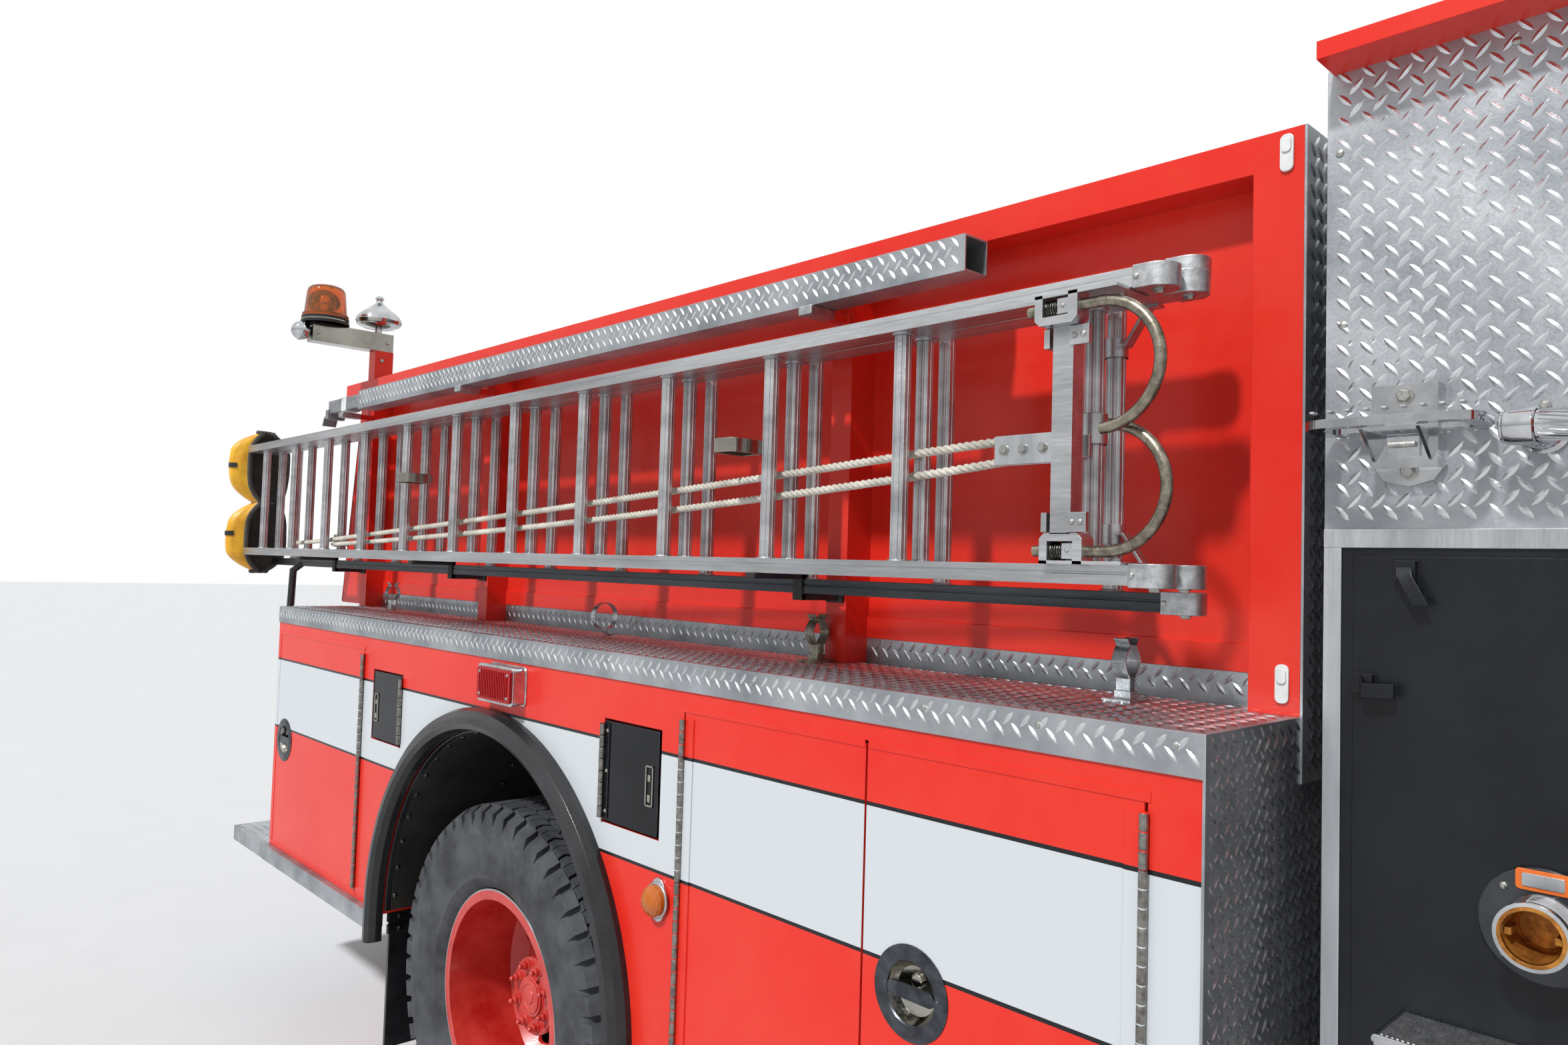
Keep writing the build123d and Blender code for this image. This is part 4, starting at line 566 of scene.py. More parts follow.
def dress_tread_plate():
    """Bars on the decks, the body's ends, the pump house, the tailboard and the trough.

    A red apron covers the upper part of each foot strip, and screws hold the decks' lips.
    """
    inner = HIGH_SHEET_Y + 5
    lip_low_z = 1450
    for hand, side in SIDES:
        run = X * -side
        start_y = -LIP_Y if side < 0 else inner
        start_x = PUMP_REAR_X if side < 0 else PUMP_FRONT_X
        tread_piece(f"deck_tread_{hand}", (
            ((REAR_X, start_y, DECK_Z), X, Y, -REAR_X, LIP_Y - inner,
             lambda a, b: on_deck(REAR_X + a, b if side > 0 else LIP_Y - inner - b)),
            ((REAR_X if side < 0 else 0, side * LIP_Y, lip_low_z), run, Z, -REAR_X, DECK_Z - lip_low_z),
        ))
        tread_piece(f"foot_strip_tread_{hand}", [
            ((low if side < 0 else high, side * (HIGH_SHEET_Y + 4), DECK_Z), run, Z, high - low, 52)
            for high, low in ((-75, -950), (-1010, -2580), (-2640, -3590))
        ])
        apron = Shape()
        apron.block((REAR_X + 1, -1), (side * (HIGH_SHEET_Y - 0.5), side * (HIGH_SHEET_Y + 5.2)),
                    (1562, 1608.8))
        apron.make(f"high_side_apron_{hand}", enamel, edge=1)
        tread_piece(f"body_end_tread_{hand}", (
            ((4, 569 if side > 0 else -LIP_Y, 612), Y, Z, LIP_Y - 569, 896),
            ((8, 809 if side > 0 else -HIGH_Y, 1408), Y, Z, HIGH_Y - 809, 1016),
        ))
        tread_piece(f"pump_house_tread_{hand}", [
            ((start_x, side * PUMP_Y, PLATE_LOW_Z), run, Z, PUMP_FRONT_X - PUMP_REAR_X, 667,
             lambda a, b: clear_of_fittings(start_x - side * a, PLATE_LOW_Z + b)),
        ])
    lip_screws = Shape()
    for side in (-1, 1):
        for x in (-38, -254, -474, -900, -1400, -2200, -3000, -3560):
            screw(lip_screws, (x, side * LIP_Y, 1488), Y * side, 6)
    lip_screws.make("deck_lip_screws", zinc)
    tread_piece("tailboard_tread", (
        ((TAIL_REAR_X, -BODY_Y, TAIL_TOP_Z), X, Y, REAR_X - TAIL_REAR_X, 2 * BODY_Y),
        ((TAIL_REAR_X, BODY_Y, TAIL_TOP_Z - 56), -Y, Z, 2 * BODY_Y, 56),
    ))
    (low_x, front_x), (near_y, far_y), (low_z, top_z) = TROUGH_X, TROUGH_Y, TROUGH_Z
    tread_piece("trough_tread", [
        (origin, u, v, front_x - low_x, 70)
        for origin, u, v in (((low_x, near_y, low_z), X, Z), ((low_x, near_y, top_z), X, Y),
                             ((front_x, far_y, low_z), -X, Z))
    ])


dress_tread_plate()


# ---- Tyres and wheels ----
# The wall of a tyre: share of its half width and radius, with the ridges that run round it
WALL = ((0.70, 286), (0.72, 300), (0.82, 310), (0.895, 324), (0.93, 332), (0.925, 336), (0.945, 345),
        (0.98, 366), (0.995, 392), (1.0, 420), (0.992, 440), (1.0, 446), (0.985, 450), (0.965, 468),
        (0.93, 482), (0.9, 490), (0.84, 498), (0.78, 504), (0.72, 511), (0.3, 512), (0.0, 512))


def tyre(shape, centre_x, centre_y):
    """A lorry tyre: ribbed walls, four rows of zigzag blocks with sipes, and deep shoulder lugs."""
    half, out, count = 139.5, 525.0, 104
    groove_r, lug_foot_r, block_half, inner_row_y, outer_row_y = 508, 462, 23, 27, 80
    wall = [(r, share * half) for share, r in WALL]
    shape.turned(wall + [(r, -y) for r, y in reversed(wall[:-1])], (centre_x, centre_y, AXLE_Z), Y, 96)
    pitch = 2 * pi / count

    def lug(low_y, high_y, kink, start, reach, low_r, tops):
        """One block, zigzag in plan, from a low radius to the top radii at its two sides."""
        mid_y = (low_y + high_y) / 2
        plan = [(low_y, start), (mid_y, start + kink), (high_y, start), (high_y, start + reach),
                (mid_y, start + reach + kink), (low_y, start + reach)]
        points = []
        for radii, inset in (((low_r, low_r), 0.0), (tops, 1.2)):
            for y, angle in plan:
                radius = radii[0] + (radii[1] - radii[0]) * (y - low_y) / (high_y - low_y)
                y += inset * ((y == low_y) - (y == high_y))
                points.append((centre_x + radius * cos(angle), centre_y + y, AXLE_Z + radius * sin(angle)))
        shape.patch(points,
                    [(11, 10, 9, 8, 7, 6)] + [(i, (i + 1) % 6, 6 + (i + 1) % 6, 6 + i) for i in range(6)])

    for i in range(count):
        start = i * pitch
        reach = pitch - (0.0045 if i % 2 else 0.016)
        for mid_y, kink in ((-outer_row_y, 0.014), (-inner_row_y, -0.014), (inner_row_y, 0.014),
                            (outer_row_y, -0.014)):
            turn = start + (pitch if abs(mid_y) == inner_row_y else 0)
            lug(mid_y - block_half, mid_y + block_half, kink, turn, reach, groove_r, (out, out))
        if i % 2:
            for low_y, high_y, tops in ((105, 135, (out - 1, out - 20)), (-135, -105, (out - 20, out - 1))):
                lug(low_y, high_y, 0.0, start - pitch * 0.5, 1.36 * pitch, lug_foot_r, tops)


def dress_wheels():
    """Tyres, nuts and studs, and the bright edges of the rims' flanges."""
    for hand, side in SIDES:
        front, rear = shapes(2)
        tyre(front, FRONT_AXLE_X, side * FRONT_TYRE_Y)
        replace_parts(front.make(f"front_tread_tyre_{hand}", tyre_rubber, body=f"front_wheel_{hand}",
                               smooth=28), f"front_tyre_{hand}")
        for y in REAR_TYRE_YS:
            tyre(rear, REAR_AXLE_X, side * y)
        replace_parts(rear.make(f"rear_tread_tyres_{hand}", tyre_rubber, body=f"rear_wheels_{hand}",
                              smooth=28), f"rear_tyres_{hand}")
        for body, x, disc_y, hub_y, stud_r, edge_y in (
            (f"front_wheel_{hand}", FRONT_AXLE_X, 1150, 1205, 0, 1124),
            (f"rear_wheels_{hand}", REAR_AXLE_X, 896.5, 1059, 80, 1168),
        ):
            nuts, bright = shapes(2)
            for p, q in round_points(143, 10, 18):
                place = Vector((x + p, side * disc_y, AXLE_Z + q))
                nuts.turned([(23, 0), (23, 5), (17, 8), (17, 26), (13, 29), (0, 29)], place, Y * side, 6)
                nuts.turned([(9, 29), (9, 38), (0, 38)], place, Y * side, 10)
            if stud_r:
                for p, q in round_points(stud_r, 8, 22.5):
                    place = Vector((x + p, side * hub_y, AXLE_Z + q))
                    nuts.turned([(15, 0), (15, 3), (11, 4), (11, 14), (9, 16), (0, 16)], place, Y * side, 6)
                    nuts.turned([(6.5, 16), (6.5, 26), (5, 28), (0, 28)], place, Y * side, 10)
                nuts.turned([(44, 7), (44, 10), (34, 11), (32, 9), (20, 9), (18, 12), (8, 13), (0, 13)],
                            (x, side * hub_y, AXLE_Z), Y * side, 32)
            else:
                bright.turned([(66, 0), (66, 10), (60, 20), (50, 26), (30, 30), (0, 31)],
                              (x, side * hub_y, AXLE_Z), Y * side, 40)
            nuts.make(f"nuts_{body}", wheel_enamel, body=body)
            bright.turned([(294, 0), (297.5, 1.5), (300.5, 0.5), (300.5, -3), (298, -4)],
                          (x, side * edge_y, AXLE_Z), Y * side, 96)
            bright.make(f"flange_edge_{body}", sheet_aluminium, body=body)


dress_wheels()


# ---- Locker doors and hatches ----
def dish_latch(name, node_name, body, x, z, side):
    """A flush slam latch: flat flange, a polished dish sunk in the door and a bar handle across it."""
    outward, place = Y * side, Vector((x, side * BODY_Y, z))
    pocket_r, pocket_depth, flange_r = 51, 26, 78
    pocket = Shape()
    pocket.turned([(0, -pocket_depth), (pocket_r, -pocket_depth), (pocket_r, 10), (0, 10)],
                  place, outward, 40)
    tool = pocket.make(f"{name}_pocket", black_plastic, slot="black_paint", body=body)
    tool.hide_render = tool.hide_viewport = True
    door = frame["nodes"][node_name]
    weld = door.modifiers.new("weld", "WELD")
    weld.merge_threshold = 0.02 * MM
    sunk = door.modifiers.new("pocket", "BOOLEAN")
    sunk.operation, sunk.object, sunk.solver = "DIFFERENCE", tool, "EXACT"
    flange, cup = shapes(2)
    flange.turned([(50.5, -3), (flange_r, -1), (flange_r, 1.6), (flange_r - 2, 2.4), (59, 2.6), (57, 3.4),
                   (53, 3.4), (50.5, 1.0), (50.5, -3)], place, outward, 48)
    flange.plate(rounded(100, 24, 11), place - outward * 3, X * -side, Z, 5)
    for end in (-1, 1):
        flange.turned([(6, -3), (6, 3.4), (4, 4.6), (0, 4.6)], place + X * end * 55, outward, 12)
    flange.make(f"{name}_flange", latch_steel, body=body, smooth=30)
    cup.turned([(50.8, 1.0), (47, -8), (40, -16), (24, -20), (0, -21)], place, outward, 48)
    cup.turned([(12, -21), (12, -15), (9, -13), (0, -13)], place + Z * 16, outward, 20)
    cup.make(name, stainless, body=body, smooth=30, closed=False)


def piano_hinge(name, body, x, side, z_low, z_high):
    """A piano hinge's knuckles, about 25 mm long each, along its pin."""
    hinge, radius = Shape(), 6.8
    count = int((z_high - z_low) / 25)
    length = (z_high - z_low) / count
    for i in range(count):
        hinge.turned([(radius - 1, 0), (radius, 0.8), (radius, length - 2.2), (radius - 1, length - 1.4)],
                     (x, side * (BODY_Y + 6.5), z_low + i * length), Z, 12)
    hinge.make(name, hinge_steel, body=body)


def door_lips(hand, side, leaf, low_x, high_x):
    """The folded lips of a door's leaf, which lap over the body at its top, bottom and free edge."""
    lips = Shape()
    depth = (side * (BODY_Y - 0.5), side * (BODY_Y + 1.4))
    lap, low_z, top_z = 15, 616, 1419
    lips.block((low_x, high_x), depth, (top_z - lap, top_z))
    lips.block((low_x, high_x), depth, (low_z, low_z + lap))
    if leaf == "rear":
        lips.block((low_x - lap, low_x), depth, (low_z, top_z))
    lips.make(f"door_lips_{leaf}_{hand}", striped, body=f"locker_door_{leaf}_{hand}_leaf", edge=0.7)


def dress_lockers():
    """Hinges, folded lips, latches and the small hatches' fittings."""
    for hand, side in SIDES:
        for leaf, hinge_x in (("rear", -2804), ("middle", -1112), ("front", -81)):
            piano_hinge(f"hinge_{leaf}_{hand}", f"locker_door_{leaf}_{hand}_leaf", hinge_x, side, 643, 1392)
        for leaf, low_x, high_x in (("rear", -3604, -2797), ("middle", -1119, -604), ("front", -596, -74)):
            door_lips(hand, side, leaf, low_x, high_x)
        for leaf, x, z in (("rear", -3521, 1016), ("front", -490, 1020)):
            dish_latch(f"latch_{leaf}_{hand}", f"locker_door_{leaf}_{hand}",
                       f"locker_door_{leaf}_{hand}_leaf", x, z, side)
    for name, low_x, high_x, low_z, high_z, hinge_x, latch_x in (
        ("hatch_rear", -2720, -2506, 1136, 1346, -2506, -2690),
        ("hatch_front", -1406, -1194, 1128, 1352, -1406, -1228),
    ):
        body = f"{name}_leaf"
        piano_hinge(f"{name}_hinge", body, hinge_x, -1, low_z + 6, high_z - 6)
        bright, rim = shapes(2)
        inward = 1 if hinge_x < latch_x else -1
        mid_x, mid_z = (low_x + high_x) / 2, (low_z + high_z) / 2
        for z in (low_z + 22, mid_z, high_z - 22):
            screw(bright, (hinge_x + inward * 14, -BODY_Y - 2.5, z), -Y, 5)
        for x_pair, z_pair in (((-14, -10), (-44, 44)), ((10, 14), (-44, 44)), ((-14, 14), (40, 44)),
                               ((-14, 14), (-44, -40)), ((-5, 5), (10, 24)), ((-5, 5), (-34, -18))):
            bright.block([latch_x + p for p in x_pair], (-BODY_Y, -BODY_Y - 3),
                         [mid_z - 8 + q for q in z_pair])
        bright.make(f"{name}_latch", stainless, body=body, edge=0.8)
        outline = rounded(high_x - low_x - 6, high_z - low_z - 2, 8)
        rim.tube([(mid_x + p, -BODY_Y - 0.4, mid_z + q) for p, q in outline], 0.8, 6, closed=True)
        rim.make(f"{name}_rim", latch_steel, slot="bare_aluminium", body=body)


dress_lockers()


# ---- Lamps ----
def dress_lamps():
    """Side lamps, markers, headlamps and tail lamps, each with its bezel and lens, and screws on the side
    lamps and markers.
    """
    bezels, screws, red, amber, clear = shapes(5)
    side_lamp_x, side_lamp_z, width, height = -1856.5, 1390, 189, 100
    marker_x, marker_z, marker_r = -1180, 1003, 32.5
    headlamp_x, headlamp_z, tail_y, tail_z = 4168, 1180, 1000, 1230
    for side in (-1, 1):
        outward, run, face = Y * side, X * -side, side * BODY_Y
        middle = Vector((side_lamp_x, face, side_lamp_z))
        for grow, reach, thick in ((0, 0, 4), (-6, 4, 30), (-2, 34, 6)):
            bezels.plate(rounded(width + grow, height + grow, 12), middle + outward * reach, run, Z, thick)
        red.plate(rounded(width - 17, height - 16, 10), middle + outward * 34, run, Z, 12)
        for i in range(-8, 9):
            red.plate(rounded(4.4, 70, 2, 2), middle + outward * 46 + run * (i * 9), run, Z, 2.4)
        for p in (-72, 72):
            for q in (-29, 29):
                screw(screws, middle + outward * 46 + run * p + Z * q, outward, 5)
        marker = Vector((marker_x, face, marker_z))
        oval = [(32 * cos(t) * (1 - 0.18 * sin(t) ** 2), 46 * sin(t))
                for t in np.linspace(0, 2 * pi, 40)[:-1]]
        bezels.plate(oval, marker, run, Z, 5)
        bezels.turned([(30, 4), (38, 4), (37, 9), (33, 11), (30, 4)], marker, outward, 32)
        rings = [(marker_r - 0.7 * i - 1.1 * (i % 2) - 0.34 * i * i, 20 + 2.6 * i) for i in range(1, 7)]
        amber.turned([(0, 5), (marker_r, 5), (marker_r, 20)] + rings + [(0, 37)], marker, outward, 32)
        for q in (-38, 38):
            screw(screws, marker + outward * 5 + Z * q, outward, 4)
        for y in (700, 930):
            lamp = Vector((headlamp_x, side * y, headlamp_z))
            bezels.turned([(96, 0), (96, 8), (92, 12), (88, 12), (86, 8), (60, 4), (0, 2)], lamp, X, 48)
            clear.turned([(0, 9), (84, 9), (84, 14), (70, 21), (40, 25), (0, 26)], lamp, X, 48)
        tail = Vector((REAR_X, side * tail_y, tail_z))
        bezels.turned([(60, 0), (60, 12), (56, 15), (53, 15), (52, 3), (0, 3)], tail, -X, 40)
        red.turned([(0, 4), (51, 4), (51, 20), (44, 25), (30, 26), (28, 24), (14, 25), (0, 27)], tail, -X, 40)
    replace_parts(bezels.make("lamp_bezels", dulled_chrome, edge=1.2), "lamps")
    screws.make("lamp_screws", zinc)
    red.make("red_lenses", red_lens, edge=1)
    amber.make("amber_marker_lenses", amber_lens)
    clear.make("headlamp_lenses", clear_lens)


dress_lamps()


# ---- Lamp arm over the hose bed ----
def dress_lamp_arm():
    """Red post sleeve, the beacon's foot, dome and reflector, and the chrome lamps' rims and finials."""
    dome_z, arm_z = 2638, 2576
    post = Shape()
    post.block((ARM_X - 32, ARM_X + 32), (-916, -842), (2424, 2540))
    post.make("arm_post_sleeve", enamel, edge=2)
    foot = Shape()
    foot.turned([(0, 0), (88, 0), (89, 3), (89, 10), (84, 13), (87, 18), (87, 26)],
                (ARM_X, BEACON_Y, ARM_TOP_Z), Z, 48)
    foot.make("beacon_foot", black_plastic)
    bolts = Shape()
    for y, z in ((-866, arm_z), (-890, 2500), (-1140, arm_z)):
        bolt(bolts, (ARM_X + 30, y, z), X, 8, 7)
    bolt(bolts, (ARM_X, -1162, 2560), -Y, 7, 6)
    bolts.make("arm_bolts", zinc)
    bright = Shape()
    bright.turned([(85, 46), (88, 49), (90, 52), (88, 55), (85, 57)], (ARM_X, WORK_LAMP_Y, ARM_TOP_Z), Z, 48)
    lamp = [(0, 0), (14, 0), (14, 20), (60, 26), (80, 36), (88, 50), (86, 62), (76, 76), (60, 90), (42, 103),
            (28, 114), (16, 124), (11, 132), (12, 138), (17, 144), (14, 152), (6, 156), (0, 156.8)]
    bright.turned([(r + 0.7 * (r > 0), z) for r, z in lamp], (ARM_X, WORK_LAMP_Y, ARM_TOP_Z), Z, 48)
    bright.turned([(0, -14), (15, -14), (15, -4), (10, 0), (10, 8)], (ARM_X, -1161, arm_z), -Y, 24)
    bright.turned([(36.7 * sin(t), -36.7 * cos(t)) for t in np.linspace(0, pi, 18)],
                  (ARM_X, BALL_LAMP_Y, arm_z), Y, 32)
    bright.turned([(36, -4), (38, -3), (38, 3), (36, 4)], (ARM_X, BALL_LAMP_Y, arm_z), (0, -1, 0.2), 40)
    bright.make("arm_chrome_lamps", chrome, smooth=50)
    dome = Shape()
    shell = [(85, 0), (85.5, 12), (80, 16), (78, 24), (71, 100), (68, 112), (60, 121), (44, 127), (0, 130)]
    lining = [(0, 127), (42, 124), (57, 118), (65, 110), (68, 99), (75, 22), (77, 13), (80, 10), (81, 0)]
    dome.turned(shell + lining + [(85, 0)], (ARM_X, BEACON_Y, dome_z), Z, 48)
    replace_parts(dome.make("beacon_dome", dome_lens), "amber_beacon")
    inside = Shape()
    inside.turned([(0, 4), (46, 4), (46, 12), (14, 14), (14, 40), (20, 46), (22, 62), (16, 76), (0, 80)],
                  (ARM_X, BEACON_Y, dome_z), Z, 32)
    inside.turned([(46, 0), (44, 14), (36, 26), (22, 34), (0, 37)], (ARM_X + 30, -1125, 2690),
                  (-0.7, 0.5, 0), 32)
    inside.make("beacon_reflector", chrome, closed=False)


dress_lamp_arm()


# ---- Ladders ----
def coil(shape, start, end, radius, wire, turns):
    """A coil spring between two points."""
    start, end = Vector(start), Vector(end)
    axis = (end - start).normalized()
    first = axis.orthogonal().normalized()
    second = axis.cross(first)
    steps = int(turns * 14)
    shape.tube([start.lerp(end, i / steps) + first * radius * cos(2 * pi * turns * i / steps)
                + second * radius * sin(2 * pi * turns * i / steps) for i in range(steps + 1)], wire, 6)


# A beam's section, as (across, up): the lower half stands a little proud of the upper, with a groove between
BEAM = [(-30, -15), (30, -15), (30, 0.5), (28, 1.5), (28, 4), (29.2, 5), (29.2, 15), (-29.2, 15), (-29.2, 5),
        (-28, 4), (-28, 1.5), (-30, 0.5)]


def ladder(pieces, y, rear_x, front_x, low_z, top_z, low_beam):
    """Two beams with round-nosed cast caps, and fluted rungs with their collars."""
    metal, caps, bolts = pieces
    nose_r, cap_length = 31, 58
    nose = [(-cap_length, nose_r), (-cap_length, -nose_r)]
    nose += [(-nose_r + nose_r * sin(t), -nose_r * cos(t)) for t in np.linspace(0, pi, 15)]
    for z, beam in ((low_z, low_beam), (top_z, metal)):
        beam.plate(BEAM, (rear_x, y, z), Y, Z, front_x - 50 - rear_x)
        caps.plate(nose, (front_x, y, z - 18), X, Y, 36)
        bolt(bolts, (front_x - nose_r, y, z - 18), -Z, 8, 6)
        screw(bolts, (front_x - 52, y - 31, z), -Y, 5)
    middle_z, rung_r = 1900, 15
    for i in range(RUNG_COUNT):
        x = FIRST_RUNG_X - i * RUNG_PITCH
        metal.turned([(rung_r, low_z + 14 - middle_z), (rung_r, top_z - 14 - middle_z)],
                     (x, y, middle_z), Z, 20)
        for z, way in ((low_z + 15, 1), (top_z - 15, -1)):
            caps.turned([(21, 0), (21, way * 2), (16.5, way * 3.5)], (x, y, z), Z, 20)
        for p, q in round_points(14.6, 12):
            metal.tube([(x + p, y + q, low_z + 18), (x + p, y + q, top_z - 18)], 1.6, 5)


def hook_casting(pieces, shank_y, shank_z, beam_z, way):
    """A casting that carries a folding hook: an open frame, its foot on the beam, spring, collar and ears."""
    metal, springs, bolts = pieces
    rear_x, front_x = -290, -215
    foot, crown = beam_z - way * 15, shank_z - way * 28
    frame_line = [(rear_x, foot), (rear_x, crown + way * 9), (rear_x + 9, crown), (front_x - 9, crown),
                  (front_x, crown + way * 9), (front_x, foot), (front_x - 16, foot),
                  (front_x - 16, shank_z - way * 15), (rear_x + 14, shank_z - way * 15), (rear_x + 14, foot)]
    metal.plate(frame_line, (0, -shank_y + 16, 0), X, Z, 34)
    metal.block((rear_x, -150), (-shank_y - 18, -1104), (foot - way * 5, foot))
    metal.block((-252, -233), (-shank_y - 14, -shank_y + 12), (shank_z - 12, shank_z + 12))
    screw(bolts, (-243, -shank_y - 14, shank_z), -Y, 3.5)
    coil(springs, (-275, -shank_y, shank_z), (-252, -shank_y, shank_z), 12.5, 1.9, 5.5)
    bolt(bolts, (-178, -1140, foot - way * 5), -Z * way, 8, 6)
    bolt(bolts, (-300, -1129, foot), -Z * way, 7, 6)
    ear_z = crown - way * 16
    metal.block((-240, -206), (-1180, -1172), (ear_z - 15, ear_z + 15))
    metal.block((-286, -276), (-1178, -1150), (ear_z - 15, ear_z + 15))
    for x in (-231, -216):
        screw(bolts, (x, -1180, ear_z), -Y, 5)


def dress_ladders():
    """The three ladders with the hooks' castings and bar, the clamp loops and the rack's arms."""
    outer, inner, dark, caps, bolts, springs, outer_caps = shapes(7)
    ladder((outer, outer_caps, bolts), ROOF_LADDER_Y, -4340, -90, BEAM_LOW_Z, BEAM_TOP_Z, outer)
    ladder((inner, caps, bolts), FLY_LADDER_Y, -4340, -75, BEAM_LOW_Z, BEAM_TOP_Z, inner)
    ladder((inner, caps, bolts), BED_LADDER_Y, -4370, -105, BED_BEAM_LOW_Z, BED_BEAM_TOP_Z, dark)
    for shank_y, shank_z, beam_z, way in ((1182, 2125, BEAM_TOP_Z, 1), (1158, 1750, BEAM_LOW_Z, -1)):
        hook_casting((outer, springs, bolts), shank_y, shank_z, beam_z, way)
    outer.block((-271, -235), (-1176, -1146), (1776, 2099))
    sleeve = [(21, -25), (22, -24), (22, 24), (21, 25), (15, 25)]
    inner.turned(sleeve, (FIRST_RUNG_X, FLY_LADDER_Y, 1950), Z, 24)
    for z, far_z in ((2092, 2144), (1783, 1731)):
        inner.turned([(20, -16), (20, 16), (15, 16)], (FIRST_RUNG_X, BED_LADDER_Y, z), Z, 20)
        inner.strap([(-248, -1012, z), (-234, -1014, z), (-188, -1030, far_z), (-168, -1032, far_z)],
                    Y, 22, 5)
    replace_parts(outer.make("roof_ladder_frame", ladder_aluminium), "roof_ladder")
    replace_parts(inner.make("extension_ladder_frame", ladder_aluminium), "extension_ladder")
    outer_caps.make("roof_ladder_caps", cast_aluminium, edge=1.5)
    caps.make("extension_ladder_caps", cast_aluminium, edge=1.5)
    # The inner ladder's lower beam takes a darker copy of the ladder aluminium: painted shade
    dark.make("inner_lower_beam", shade_painted_aluminium)
    springs.make("hook_springs", spring_steel, slot="hook_steel")
    bolts.make("ladder_bolts", zinc)
    clamps, brackets, rack, stays = shapes(4)
    for x in (-1024, -2632):
        clamps.strap([(x, -1100, 1964), (x, -1176, 1964), (x - 4, -1185, 1964), (x - 12, -1190, 1964),
                      (x - 54, -1190, 1964), (x - 62, -1185, 1964), (x - 66, -1176, 1964),
                      (x - 66, -1100, 1964)], Z, 30, 6)
        clamps.block((x - 66, x), (-1102, -1094), (1950, 1978))
    clamps.make("ladder_clamp_loops", stainless, slot="bare_aluminium", smooth=50, edge=1)
    for x in RACK_XS:
        brackets.block((x - 20, x + 20), (-1036, -960), (2255, 2276))
        rack.block((x - 14, x + 14), (-1032, -914), (1644, 1658))
        rack.block((x - 14, x + 14), (-1034, -1020), (1644, 1700))
        rack.block((x - 14, x + 14), (-1168, -1020), (1688, 1700))
        stays.block((x - 14, x + 14), (-1030, -914), (2256, 2274))
        rack.block((x - 25, x + 25), (-922, -914), (1639, 1680))
        stays.block((x - 25, x + 25), (-922, -914), (2240, 2274))
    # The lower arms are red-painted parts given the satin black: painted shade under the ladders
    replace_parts(rack.make("rack_lower_arms", chassis_black, slot="red_paint", edge=1.5), "ladder_rack")
    stays.make("rack_upper_arms", enamel, edge=1.5)
    brackets.make("rack_arm_sleeves", cast_aluminium, edge=3)


dress_ladders()


# ---- Halyard ----
def route(points):
    """Points along the NURBS spline that has these control points, in millimetres."""
    curve = bpy.data.curves.new("halyard_route", "CURVE")
    curve.dimensions, curve.resolution_u = "3D", 24
    spline = curve.splines.new("NURBS")
    spline.points.add(len(points) - 1)
    for held, point in zip(spline.points, points):
        held.co = (point[0] * MM, point[1] * MM, point[2] * MM, 1)
    spline.order_u, spline.use_endpoint_u = 3, True
    carrier = bpy.data.objects.new("halyard_route", curve)
    mesh = bpy.data.meshes.new_from_object(carrier)
    line = [vertex.co / MM for vertex in mesh.vertices]
    bpy.data.objects.remove(carrier)
    bpy.data.meshes.remove(mesh)
    return line


def even(line, step):
    """The same line with its points an even step apart."""
    reach = [0.0]
    for before, after in zip(line, line[1:]):
        reach.append(reach[-1] + (after - before).length)
    marks = np.linspace(0, reach[-1], max(int(reach[-1] / step), 2))
    return [Vector([float(np.interp(mark, reach, [p[axis] for p in line])) for axis in range(3)])
            for mark in marks]


def rope(shape, points, radius=8.0, lay=46.0, step=6.0):
    """A three-strand laid rope along a route."""
    line = even(route(points), step)
    side, held = None, []
    for i, point in enumerate(line):
        along = (line[min(i + 1, len(line) - 1)] - line[max(i - 1, 0)]).normalized()
        side = along.orthogonal() if side is None else side - along * side.dot(along)
        side.normalize()
        held.append((point, side.copy(), along.cross(side)))
    for strand in range(3):
        turns = [2 * pi * (i * step / lay + strand / 3) for i in range(len(held))]
        shape.tube([point + (first * cos(turn) + second * sin(turn)) * radius * 0.5
                    for (point, first, second), turn in zip(held, turns)], radius * 0.56, 7)


def dress_halyard():
    """Two falls of rope from the clip's plates to a hitch on the tenth rung, and the rope's tail."""
    falls, y, hitch_x = Shape(), (ROOF_LADDER_Y + FLY_LADDER_Y) / 2, -3463.5
    rope(falls, [(-400, y, 1938), (-480, y, 1936), (-900, y, 1908), (-1700, y, 1862), (-2500, y, 1818),
                 (-3200, y, 1782), (-3464, y, 1769)])
    rope(falls, [(-400, y, 1904), (-480, y, 1895), (-1000, y, 1858), (-1800, y, 1812), (-2600, y, 1778),
                 (-3200, y, 1757), (-3464, y, 1750)])
    for z, drop in ((1764, 10), (1748, 8)):
        rope(falls, [(hitch_x + 23 * cos(t), FLY_LADDER_Y + 24 * sin(t), z + drop * t / 6.3)
                     for t in np.linspace(-1.6, 11.5, 22)], 6.2, 40, 5)
    rope(falls, [(-3464, y, 1769), (-3510, y + 1, 1764), (-3600, y + 2, 1762), (-3820, y + 30, 1758),
                 (-3950, y, 1752)])
    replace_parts(falls.make("halyard_rope", rope_fibre, smooth=60), "halyard")
    plate, bolts = shapes(2)
    for x_pair, y_pair, z_pair in (((-428, -310), (-1107, -1103), (1896, 1946)),
                                   ((-428, -310), (-1092, -1088), (1896, 1946)),
                                   ((-340, -250), (-1101, -1094), (1902, 1938))):
        plate.block(x_pair, y_pair, z_pair)
    for x in (-408, -370, -332):
        bolt(bolts, (x, -1107, 1921), -Y, 7, 6)
    plate.make("halyard_clip_plate", sheet_aluminium, edge=1.5)
    bolts.make("clip_bolts", zinc)


dress_halyard()


